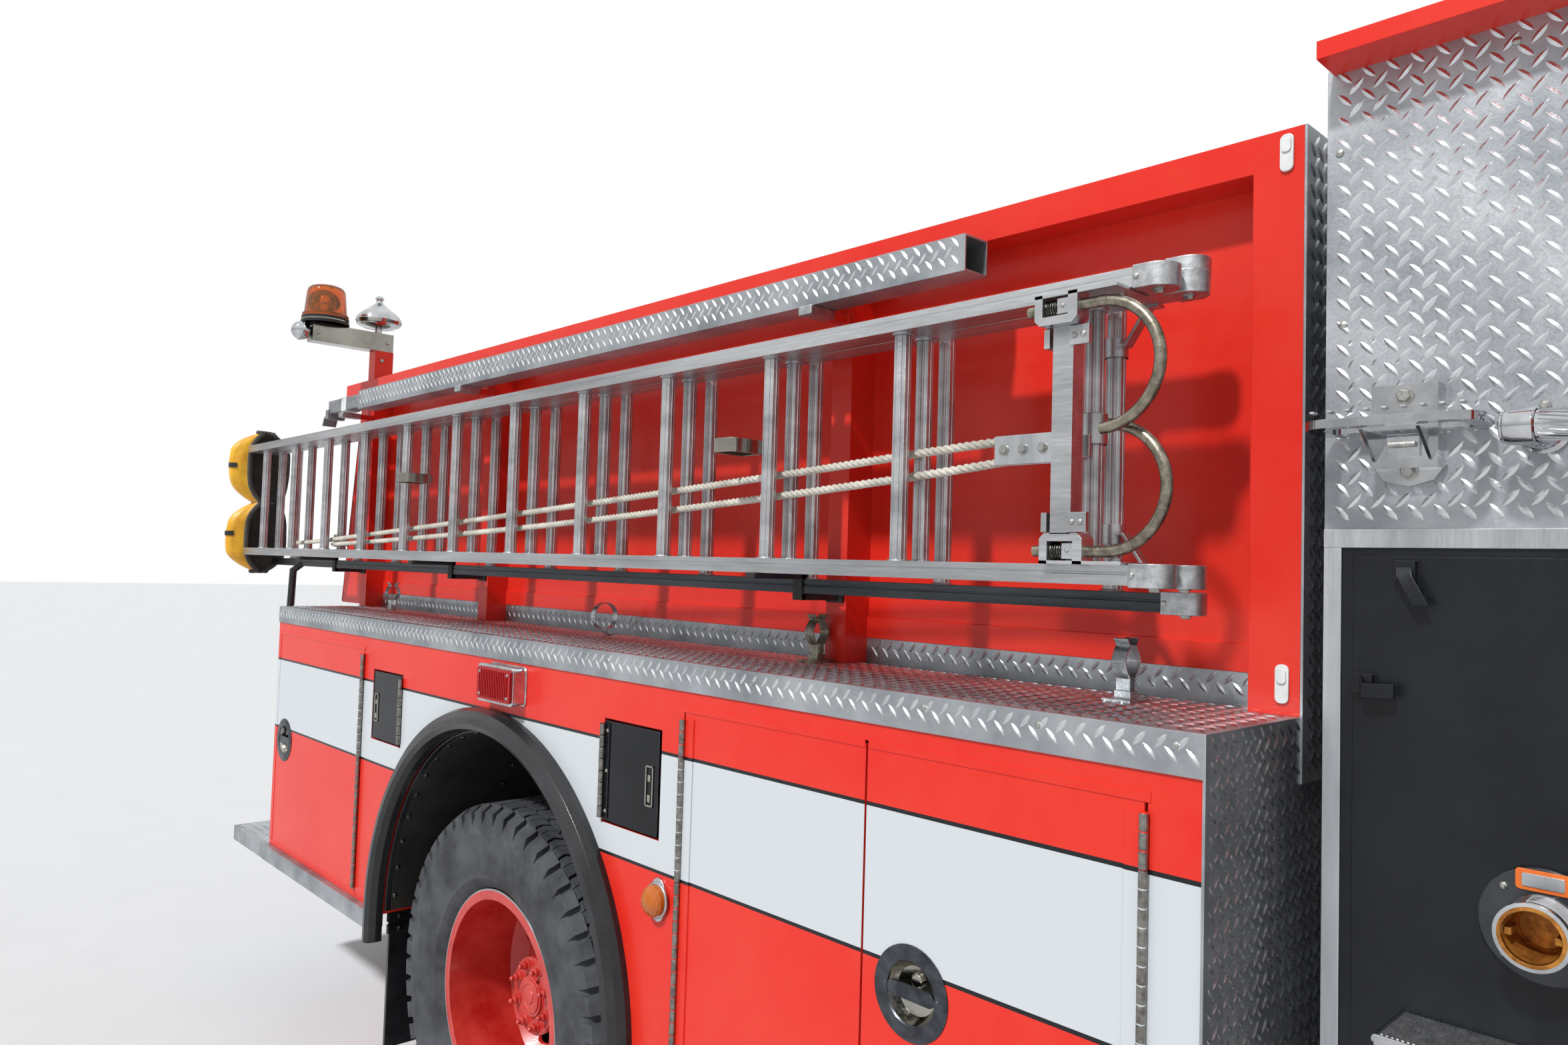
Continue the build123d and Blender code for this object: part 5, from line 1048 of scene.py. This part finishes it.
# ---- Yellow cover on the ladders' rear ends ----
def dress_cover():
    """A gathered cover: two lobes pinched by a wire, with a dark hem rolled round its mouth."""
    rows, columns = 84, 72
    middle_x, mid_y = -4396.0, -1070.0
    low_z, high_z, waist_z = 1628.0, 2243.0, 1930.0
    grid = []
    for row in range(rows):
        z = low_z + (high_z - low_z) * row / (rows - 1)
        share = (z - low_z) / (waist_z - low_z) if z < waist_z else (high_z - z) / (high_z - waist_z)
        full = max(0.0, 1 - abs(1.72 * share - 0.80) ** 2.6)
        closing = max(sin(pi / 2 * min(share / 0.3, 1)), 0.12) ** 0.5
        pinch = max(0.0, (share - 0.7) / 0.3) ** 2
        line = []
        for column in range(columns):
            s = column / (columns - 1)
            angle = radians(-58 + 238 * s)
            ruffle = sin(pi * s) ** 0.5 if 0 < s < 1 else 0
            fold = sin(angle * 15 + z * 0.012) * 3.4 * (1 - 0.6 * full) * ruffle
            soft = noise.noise(Vector((s * 7, z * 0.018, 3.1))) * 6
            half = 60 + 36 * full if cos(angle) < 0 else 80 + 66 * full - 52 * pinch
            deep = 8 + 64 * full if sin(angle) > 0 else 48
            lift = 3 * noise.noise(Vector((s * 5, z * 0.02, 9.7)))
            line.append(Vector((middle_x - (deep * closing + fold + soft) * sin(angle),
                                mid_y - (half * closing + fold * 0.5 + soft * 0.4) * cos(angle), z + lift)))
        grid.append(line)
    cloth = Shape()
    cloth.patch([point for line in grid for point in line],
                [(r * columns + c, r * columns + c + 1, (r + 1) * columns + c + 1, (r + 1) * columns + c)
                 for r in range(rows - 1) for c in range(columns - 1)])
    cover = cloth.make("ladder_cover", grey_lining, smooth=180, closed=False)
    cover.data.materials.append(yellow_cloth)
    thick = cover.modifiers.new("cloth", "SOLIDIFY")
    thick.thickness, thick.offset, thick.material_offset = 2.2 * MM, 0, 1
    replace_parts(cover, "yellow_ladder_cover")
    lining, straps, tie = shapes(3)
    rim = [line[0] for line in grid] + grid[-1][1:] + [line[-1] for line in grid[-2::-1]] + grid[0][-2:0:-1]
    lining.tube([point + X * 3 for point in rim[::2]], 9, 8, closed=True)
    hem = lining.make("cover_hem", grey_lining, smooth=80)
    for row, column in ((62, 12), (22, 12)):
        straps.strap([grid[row][column + k] + Vector((2, -4, 0)) for k in range(-5, 6)], Z, 20, 3)
    patches = straps.make("cover_straps", webbing)
    waist = Vector((middle_x, mid_y, waist_z))
    tie.tube([grid[41][c] + (grid[41][c] - waist).normalized() * 3 for c in range(0, columns, 3)], 2.2, 8)
    tie.make("cover_wire_tie", zinc, slot="hook_steel")


dress_cover()


# ---- High sides: guards, grab poles, deck clips, the trough's bar ----
def dress_high_sides():
    """Post guards, rear edges, grab poles, the deck's spring clips and the trough's rear bar."""
    guards, strips, poles = shapes(3)
    for side in (-1, 1):
        run = X * -side
        for z in (2385, 1556):
            guards.plate(rounded(21, 60, 9), (-22, side * HIGH_Y, z), run, Z, 5)
            guards.plate(rounded(15, 24, 6), (-22, side * (HIGH_Y + 5), z + 12), run, Z, 3)
        strips.strap([(-4033, side * 824, 1512), (-3893, side * 824, 2422)], Y, 34, 4)
        poles.tube([(-4034, side * 1050, 700), (-4034, side * 1052, 1480), (-4026, side * 1050, 1640),
                    (-3990, side * 990, 1700), (-3960, side * 850, 1716)], 15, 14)
    guards.make("post_guards", white_nylon, slot="rubber_trim", edge=1.5)
    strips.make("high_side_edge_strips", sheet_aluminium)
    poles.make("rear_grab_poles", arch_rubber, smooth=60)
    clips, dark = shapes(2)
    arm = ((8, 1512), (9, 1546), (20, 1560), (25, 1574), (19, 1588), (10, 1600), (19, 1612))
    for held, x, y in ((clips, -251, -973), (clips, -3290, -930), (dark, -1000, -950)):
        for way in (-1, 1):
            held.strap([(x, y + way * out, z) for out, z in arm], X, 26, 3)
        held.block((x - 15, x + 15), (y - 12, y + 12), (1508, 1526))
        held.block((x - 26, x + 26), (y - 34, y + 34), (1508, 1513))
    ring_x, ring_y = -1860, -930
    clips.strap([(ring_x, ring_y + 37 * cos(t), 1562 + 37 * sin(t)) for t in np.linspace(-1.2, 4.34, 32)],
                X, 20, 3)
    clips.strap([(ring_x, ring_y, 1527), (ring_x, ring_y + 4, 1514), (ring_x, ring_y + 30, 1511)], X, 24, 4)
    clips.make("deck_spring_clips", dulled_chrome, edge=0.8)
    dark.make("dark_spring_clip", hook_steel, edge=0.8)
    bar, tape = shapes(2)
    bar.block((-3790, -3455), (-1022, -968), (2284, 2336))
    bar.block((-3800, -3770), (-1030, -960), (2262, 2300))
    bar.strap([(-3790, -995, 2290), (-3835, -995, 2268), (-3850, -995, 2240)], Y, 56, 8)
    bar.make("trough_rear_bar", grey_nylon, edge=3)
    tape.block((-3650, -3600), (-1023, -967), (2283, 2337))
    tape.make("trough_bar_tape", white_nylon, slot="bare_aluminium")


dress_high_sides()


# ---- Wheel arches ----
def dress_arches():
    """Dark liner, inner flange and rivets of the arch, and the bracket and bolts of the mud flap."""
    bands, rivets, liners = shapes(3)
    flap_x, liner_r = -2586, 621
    for side in (-1, 1):
        place = (REAR_AXLE_X, side * 1180, ARCH_Z)
        for shape, outer_r, near, far in ((bands, 630, 0, 34), (liners, 629, 16, -600)):
            shape.turned([(outer_r, near), (outer_r - 8, near), (outer_r - 8, far), (outer_r, far),
                          (outer_r, near)], place, Y * side, 72, pi, X * -side)
        for p, q in round_points(liner_r, 44, 4.1):
            if q > 0:
                for y in (1186, 900):
                    screw(rivets, (REAR_AXLE_X + p, side * y, ARCH_Z + q), (-p, 0, -q), 8)
        for z in (596, 560):
            bands.block((flap_x - 16, flap_x), (side * 640, side * 1195), (z - 14, z + 14))
            for y in (680, 860, 1040, 1160):
                bolt(rivets, (flap_x, side * y, z), X, 7, 6)
    bands.make("arch_inner_bands", arch_rubber, edge=2)
    # The liners' satin black is partly the wheel well's dark undercoat and partly painted shade in the well
    liners.make("arch_liners", chassis_black)
    rivets.make("arch_rivets", spring_steel, slot="chrome_plate")


dress_arches()


# ---- Pump house ----
def dress_outlet(pieces, x, z, side, bore, pipe, reach, escutcheon):
    """One hose outlet: dark escutcheon, chrome threads, brass bore with lugs, and a blank tag."""
    escutcheons, bright, inner, bolts, tags, faces = pieces
    outward, run = Y * side, X * -side
    place = Vector((x, side * PUMP_Y, z))
    escutcheons.turned([(pipe + 1, 0), (escutcheon + 4, 0), (escutcheon + 4, 8), (escutcheon + 2, 9.5),
                        (pipe + 1, 9.5), (pipe + 1, 0)], place, outward, 64)
    threads = [(bore - 1, 14), (pipe + 0.4, 14)]
    for i in range(int((reach - 26) / 5)):
        threads += [(pipe + 0.4, 16 + i * 5), (pipe + 2.2, 18 + i * 5), (pipe + 0.4, 20 + i * 5)]
    threads += [(pipe + 0.6, reach - 6), (pipe + 2.4, reach - 4), (pipe + 2.2, reach), (bore, reach + 0.5),
                (bore - 1, reach - 2), (bore - 1, 14)]
    bright.turned(threads, place, outward, 48)
    inner.turned([(bore + (pipe - bore) * 0.65, reach + 0.7), (bore, reach + 1.2), (bore - 1, reach - 3),
                  (bore - 2, 10), (bore * 0.8, 6), (0, 5)], place, outward, 48)
    for p in (-1, 1):
        inner.block((x + p * (bore - 2), x + p * (bore - 9)),
                    [place.y + side * 30, place.y + side * (reach - 8)], (z - 4, z + 4))
    for p, q in round_points(escutcheon - 8, 4, 45):
        screw(bolts, place + outward * 9.5 + X * p + Z * q, outward, 5)
    tag = place + Z * (escutcheon - 12) + outward * 9.5
    tags.plate(rounded(58, 26, 5), tag, run, Z, 2)
    faces.plate(rounded(44, 16, 2), tag + outward * 2, run, Z, 1)


def dress_folding_step(bright, bolts, ribs, x, side):
    """The step's pointed bracket, gussets, latch pin, bolts and the ribs of its tread."""
    face, outward, run = side * PUMP_Y, Y * side, X * -side
    tread_z = STEP_Z + 12
    bright.plate([(-44, -56), (44, -56), (30, -76), (0, -84), (-30, -76)][::-1],
                 (x, face, STEP_Z), run, Z, 12)
    for way in (-1, 1):
        bright.plate([(0, -12), (86, -12), (70, -22), (18, -60), (0, -60)], (x + way * 34, face, STEP_Z),
                     outward, Z, 5)
    bright.block((x - 20, x + 20), (face + side * 30, face + side * 36), (1884, 1914))
    bolt(bolts, (x, face + side * 30, 1966), outward, 9, 8)
    bolt(bolts, (x, face + side * 12, 1866), outward, 9, 8)
    bolts.tube([(x - 16, face + side * 40, 1900), (x + 16, face + side * 40, 1900)], 4, 8)
    for i in range(-4, 5):
        ribs.block((x + i * 22 - 3, x + i * 22 + 3), (face + side * 98, face + side * 112),
                   (tread_z - 3, tread_z))


def dress_pump_house():
    """Trim, latches, outlets, folding and fixed steps, the knurled rail and screws."""
    trim, black, escutcheons, bright, bolts, tags, faces, inner, knurl, ribs = shapes(10)
    for side in (-1, 1):
        outward, face = Y * side, side * PUMP_Y
        trim.block((PUMP_REAR_X, PUMP_FRONT_X), (face, face + side * 4), (PANEL_TOP_Z, PLATE_LOW_Z + 2))
        for edge_x, inset in ((PUMP_REAR_X, 24), (PUMP_FRONT_X, -24)):
            trim.block((edge_x, edge_x + inset), (face, face + side * 3), (PANEL_LOW_Z, PANEL_TOP_Z))
        black.block((108, 1212), (face, face + side * 2.5), (770, 1752))
        for x, z, tip in ((175, 1730, (24, -44)), (123, 1574, (44, -4))):
            black.block((x - 14, x + 14), (face + side * 2, face + side * 14), (z - 12, z + 16))
            black.strap([(x, face + side * 14, z + 6), (x + 4, face + side * 22, z - 6),
                         (x + tip[0], face + side * 22, z + tip[1])], X if tip[0] < 40 else Z, 20, 7)
        for x, z, bore, pipe, reach, escutcheon in ((330, 1300, 31, 38, 70, 66.5),
                                                    (700, 1000, 76, 95, 110, 166),
                                                    (980, 1300, 31, 38, 70, 66.5)):
            dress_outlet((escutcheons, bright, inner, bolts, tags, faces), x, z, side, bore, pipe,
                         reach, escutcheon)
        for x in STEP_XS:
            dress_folding_step(bright, bolts, ribs, x, side)
        rail_y = side * (PUMP_Y + 68)
        for x, inward in zip(RAIL_FOOT_XS, (X, -X)):
            bright.turned([(0, -2), (14, -2), (21, 4), (23, 12), (23, 34), (20.5, 36)],
                          Vector((x, rail_y, RAIL_Z)) - inward * 30, inward, 32)
        for x in RAIL_FOOT_XS:
            bright.turned([(0, 0), (28, 0), (28, 4), (20, 10), (15, 24), (15, 60)],
                          (x, face, RAIL_Z), outward, 32)
            bolt(bolts, (x, face + side * 2, 1943), outward, 5, 4)
        for turn in range(20):
            knurl.tube([(340 + 580 * i / 24, rail_y + 19.4 * cos(turn * pi / 10 + i * 0.22),
                         RAIL_Z + 19.4 * sin(turn * pi / 10 + i * 0.22)) for i in range(25)], 1.1, 4)
        for x_low, x_high, z in ((175, 315, 1148), (100, 1240, 752)):
            ribs.block((x_low + 3, x_high - 3), (face + side * 5, face + side * 112), (z - 0.5, z + 0.8))
            for i in range(int((x_high - x_low - 6) / 6)):
                ribs.block((x_low + 5 + i * 6, x_low + 8 + i * 6), (face + side * 8, face + side * 110),
                           (z, z + 2.2))
            bright.tube([(x_low, face + side * 2, z - 4), (x_low, face + side * 114, z - 4),
                         (x_high, face + side * 114, z - 4), (x_high, face + side * 2, z - 4)], 5.5, 10)
        for x, z in ((92, 2080), (86, 2330), (1220, 2080), (300, 2420), (650, 2420), (1000, 2420),
                     (480, 1805), (860, 1805)):
            screw(bolts, (x, face, z), outward, 6)
        bolt(bolts, (196, face + side * 2.5, 1120), outward, 7, 5)
    trim.make("pump_panel_trim", sheet_aluminium, edge=1)
    black.make("pump_panel_fittings", black_enamel, edge=1.2)
    escutcheons.make("outlet_escutcheons", escutcheon_black, smooth=30)
    bright.make("outlet_and_step_castings", chrome, edge=1)
    inner.make("outlet_linings", brass, closed=False)
    bolts.make("pump_house_bolts", zinc)
    tags.make("blank_tags", orange_enamel, edge=0.6)
    faces.make("blank_tag_faces", sheet_aluminium)
    knurl.make("rail_knurling", chrome)
    ribs.make("step_ribs", cast_aluminium, edge=0.6)


dress_pump_house()


# ---- Cab ----
def dress_cab():
    """Gaskets, handles, wipers, mirror faces, marker lamps and the light bar's domes."""
    rubber, bright, black, amber, faces = shapes(5)
    rake, screen_foot_x, screen_foot_z, screen_height = 0.0995, 4141, 1500, 966
    bar_x, bar_z, handle_x, handle_z, marker_z = 3750, 2630, 3180, 1420, 2575
    for hand, side in SIDES:
        outward, run = Y * side, X * -side
        leaf, handle = shapes(2)
        for gasket, mid_x, mid_z, width, height, radius, out, thick in (
            (leaf, 3535, 1945, 738, 778, 40, 1, 9),
            (rubber, 1770, 1695, 704, 1274, 30, 0.5, 10),
        ):
            gasket.tube([(mid_x + p, side * (CAB_Y + out), mid_z + q)
                         for p, q in rounded(width, height, radius)], thick, 8, closed=True)
        leaf.make(f"door_gasket_{hand}", arch_rubber, body=f"cab_door_{hand}_leaf", smooth=60)
        handle.plate(rounded(160, 60, 20), (handle_x, side * CAB_Y, handle_z), run, Z, 5)
        handle.plate(rounded(120, 26, 12), (handle_x, side * (CAB_Y + 4), handle_z + 8), run, Z, 9)
        handle.turned([(0, 0), (9, 0), (9, 7), (0, 7)], (handle_x - 60, side * (CAB_Y + 5), handle_z - 12),
                      outward, 20)
        handle.make(f"door_handle_{hand}", chrome, body=f"cab_door_{hand}_leaf", edge=2)
        rubber.tube([(screen_foot_x - (screen_height / 2 + q) * rake, side * 555 + p,
                      screen_foot_z + (screen_height / 2 + q) * 0.995)
                     for p, q in rounded(1066, 826, 50)], 12, 8, closed=True)
        foot, tip = Vector((4145, side * 420, 1555)), Vector((4122, side * 700, 1860))
        black.tube([foot, foot.lerp(tip, 0.5) + X * 14, tip + X * 8], [9, 6, 4], 8)
        black.strap([tip + Vector((36, 0, -260)), tip + X * 12, tip + Vector((-16, 0, 260))], Y, 14, 10)
        faces.plate(rounded(156, 500, 30), (3999.5, side * 1400, 1925), -Y, Z, 2)
        for y in (90, 320, 540):
            bright.plate(rounded(60, 30, 10), (4040, side * y, marker_z), Y, Z, 6)
            amber.plate(rounded(50, 22, 8), (4046, side * y, marker_z), Y, Z, 10)
    rubber.make("window_gaskets", arch_rubber, smooth=60)
    black.make("wipers", black_plastic, slot="rubber_trim", edge=1)
    bright.make("marker_lamp_bases", chrome, edge=2)
    amber.make("marker_lamp_lenses", amber_lens, edge=3)
    faces.make("mirror_faces", mirror_glass)
    base, domes = shapes(2)
    base.plate(rounded(300, 1240, 135, 10), (bar_x, 0, bar_z), X, Y, 26)
    base.plate(rounded(286, 300, 40, 6), (bar_x, 0, bar_z + 26), X, Y, 112)
    for side in (-1, 1):
        base.block((bar_x - 50, bar_x + 50), (side * 400, side * 440), (bar_z - 30, bar_z))
        domes.plate(rounded(292, 466, 132, 10), (bar_x, side * 384, bar_z + 26), X, Y, 96)
        domes.plate(rounded(268, 440, 120, 10), (bar_x, side * 384, bar_z + 122), X, Y, 27.5)
        for i in range(6, 18):
            for x in (bar_x - 145, bar_x + 145):
                domes.block((x - 1.4, x + 1.4), (side * (i * 30 + 1), side * (i * 30 + 7)), (2664, 2744))
    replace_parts(domes.make("light_bar_domes", red_lens, edge=6), "light_bar")
    base.make("light_bar_base", chrome, edge=4)


dress_cab()


# ---- Seats ----
def pad(shape, x, y, z, crown):
    """A cushion: rounded on every side, crowned on its broad faces, drawn in between its corners."""
    centre = Vector((sum(x) / 2, sum(y) / 2, sum(z) / 2))
    half = Vector((abs(x[1] - x[0]) / 2, abs(y[1] - y[0]) / 2, abs(z[1] - z[0]) / 2))
    count = 14
    thin = min(range(3), key=lambda axis: half[axis])
    broad = [axis for axis in range(3) if axis != thin]
    for axis in range(3):
        for sign in (-1, 1):
            points = []
            for i in range(count + 1):
                for j in range(count + 1):
                    q = [0.0, 0.0, 0.0]
                    q[axis] = sign
                    q[(axis + 1) % 3] = sin(pi * (i / count - 0.5))
                    q[(axis + 2) % 3] = sin(pi * (j / count - 0.5))
                    size = sum(abs(c) ** 7 for c in q) ** (1 / 7)
                    q = [c / size for c in q]
                    dome = (1 - q[broad[0]] ** 2) * (1 - q[broad[1]] ** 2)
                    spot = Vector([q[k] * (half[k] - (crown if k == thin else 0)) for k in range(3)])
                    spot[thin] += crown * dome * abs(q[thin]) ** 3 * (1 if q[thin] > 0 else -1)
                    spot[broad[0]] *= 1 - 0.012 * (1 - q[broad[1]] ** 2)
                    spot[broad[1]] *= 1 - 0.012 * (1 - q[broad[0]] ** 2)
                    points.append(centre + spot)
            shape.patch(points,
                        [(i * (count + 1) + j, (i + 1) * (count + 1) + j, (i + 1) * (count + 1) + j + 1,
                          i * (count + 1) + j + 1) for i in range(count) for j in range(count)])


def dress_seats():
    """Crowned vinyl cushions with piped edges where the plain ones are, and the boxes under them."""
    for hand, side in SIDES:
        for name, x, y, z in (
            ("driver_cushion", (2850, 3350), (580, 1080), (1222, 1360)),
            ("driver_back", (2760, 2848), (580, 1080), (1240, 2000)),
            ("crew_cushion", (1500, 1938), (600, 1080), (1222, 1360)),
            ("crew_back", (1942, 2040), (600, 1080), (1240, 2000)),
        ):
            cushion, piping = shapes(2)
            y_pair = sorted((side * y[0], side * y[1]))
            pad(cushion, x, y_pair, z, 12)
            piece = cushion.make(f"{name}_{hand}", seat_vinyl, smooth=180)
            weld = piece.modifiers.new("weld", "WELD")
            weld.merge_threshold = 0.5 * MM
            mid_y = sum(y_pair) / 2
            if name.endswith("cushion"):
                line = [(sum(x) / 2 + p, mid_y + q, z[1] - 22)
                        for p, q in rounded(x[1] - x[0] - 8, y[1] - y[0] - 8, 40)]
            else:
                face_x = x[1] - 18 if name.startswith("driver") else x[0] + 18
                line = [(face_x, mid_y + q, sum(z) / 2 + p)
                        for p, q in rounded(z[1] - z[0] - 12, y[1] - y[0] - 8, 50)]
            piping.tube(line, 4, 6, closed=True)
            piping.make(f"{name}_piping_{hand}", webbing, slot="seat_vinyl", smooth=60)
        plinth = Shape()
        plinth.block((1540, 1990), (side * 640, side * 1040), (1060, 1222))
        plinth.block((2860, 3300), (side * 620, side * 1040), (1060, 1222))
        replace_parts(plinth.make(f"seat_boxes_{hand}", black_plastic, slot="dash_plastic", edge=6), "seats")


dress_seats()


# ---- Rear of the body ----
def dress_rear():
    """Tread on the rear door and walls, the door's latch, and the handrails' feet."""
    bright, latch = shapes(2)
    half_door, door_low_z, latch_z = 395, 1003, 1080
    tread_piece("rear_door_tread", [((REAR_X - 0.2, half_door, door_low_z), -Y, Z, 2 * half_door, 412)],
                "rear_door_leaf")
    tread_piece("rear_wall_tread", [
        ((REAR_X, high_y, low_z), -Y, Z, high_y - low_y, high_z - low_z)
        for high_y, low_y, low_z, high_z in ((565, 415, 615, 1505), (-415, -565, 615, 1505),
                                             (half_door, -half_door, 615, 985))
    ])
    latch.turned([(0, 0), (62, 0), (62, 3), (48, 4), (44, 1.5), (20, 1), (0, 1)], (REAR_X, 0, latch_z),
                 -X, 40)
    latch.plate(rounded(84, 20, 9), (REAR_X - 4, 0, latch_z), -Y, Z, 6)
    latch.make("rear_door_latch", stainless, body="rear_door_leaf")
    for side in (-1, 1):
        for z in (730, 1370):
            bright.turned([(0, 0), (34, 0), (34, 4), (20, 10), (14, 22), (14, 44)],
                          (REAR_X, side * 520, z), -X, 28)
    bright.make("rear_rail_feet", chrome)


dress_rear()


# ---- Floor and light ----
def set_stage():
    """A plain pale floor, a soft high sun from the vehicle's right and an even surround."""
    mesh = bpy.data.meshes.new("floor")
    far = 60.0
    mesh.from_pydata([(-far, -far, 0), (far, -far, 0), (far, far, 0), (-far, far, 0)], [], [(0, 1, 2, 3)])
    floor = bpy.data.objects.new("floor", mesh)
    bpy.context.collection.objects.link(floor)
    material, tree, place = begin("pale_matt_floor")
    grain = node(tree, "TexNoise", {"Vector": place, "Scale": 1000 / 330, "Detail": 3.0})
    colour = node(tree, "Mix", {0: grain, 6: linear("#D4D6D8"), 7: linear("#DADCDE")}, out=2,
                  data_type="RGBA")
    mesh.materials.append(dress(material, {"Base Color": colour, "Roughness": 0.9}))
    world = bpy.data.worlds.new("surround")
    world.use_nodes = True
    tree = world.node_tree
    height = node(tree, "SeparateXYZ", {"Vector": node(tree, "TexCoord", out=0)}, out=2)
    up = node(tree, "MapRange", {"Value": height, "From Min": -0.15, "From Max": 0.5, "To Min": 0.35,
                                 "To Max": 1.0})
    mirrored = node(tree, "Mix", {0: node(tree, "LightPath", out=3), 2: 0.48, 3: up}, data_type="FLOAT")
    seen = node(tree, "Math", {0: node(tree, "LightPath", out=0), 1: node(tree, "LightPath", out=6)},
                operation="MAXIMUM")
    strength = node(tree, "Mix", {0: seen, 2: mirrored, 3: 1.0}, data_type="FLOAT")
    background = tree.nodes["Background"]
    background.inputs["Color"].default_value = (1, 1, 1, 1)
    tree.links.new(strength, background.inputs["Strength"])
    bpy.context.scene.world = world
    data = bpy.data.lights.new("sun", "SUN")
    data.energy, data.angle = 2.9, radians(4)
    sun = bpy.data.objects.new("sun", data)
    bpy.context.collection.objects.link(sun)
    sun.rotation_euler = Vector((-0.12, 1.0, -1.15)).to_track_quat("-Z", "Y").to_euler()
    bpy.context.scene.view_settings.view_transform = "Standard"


set_stage()
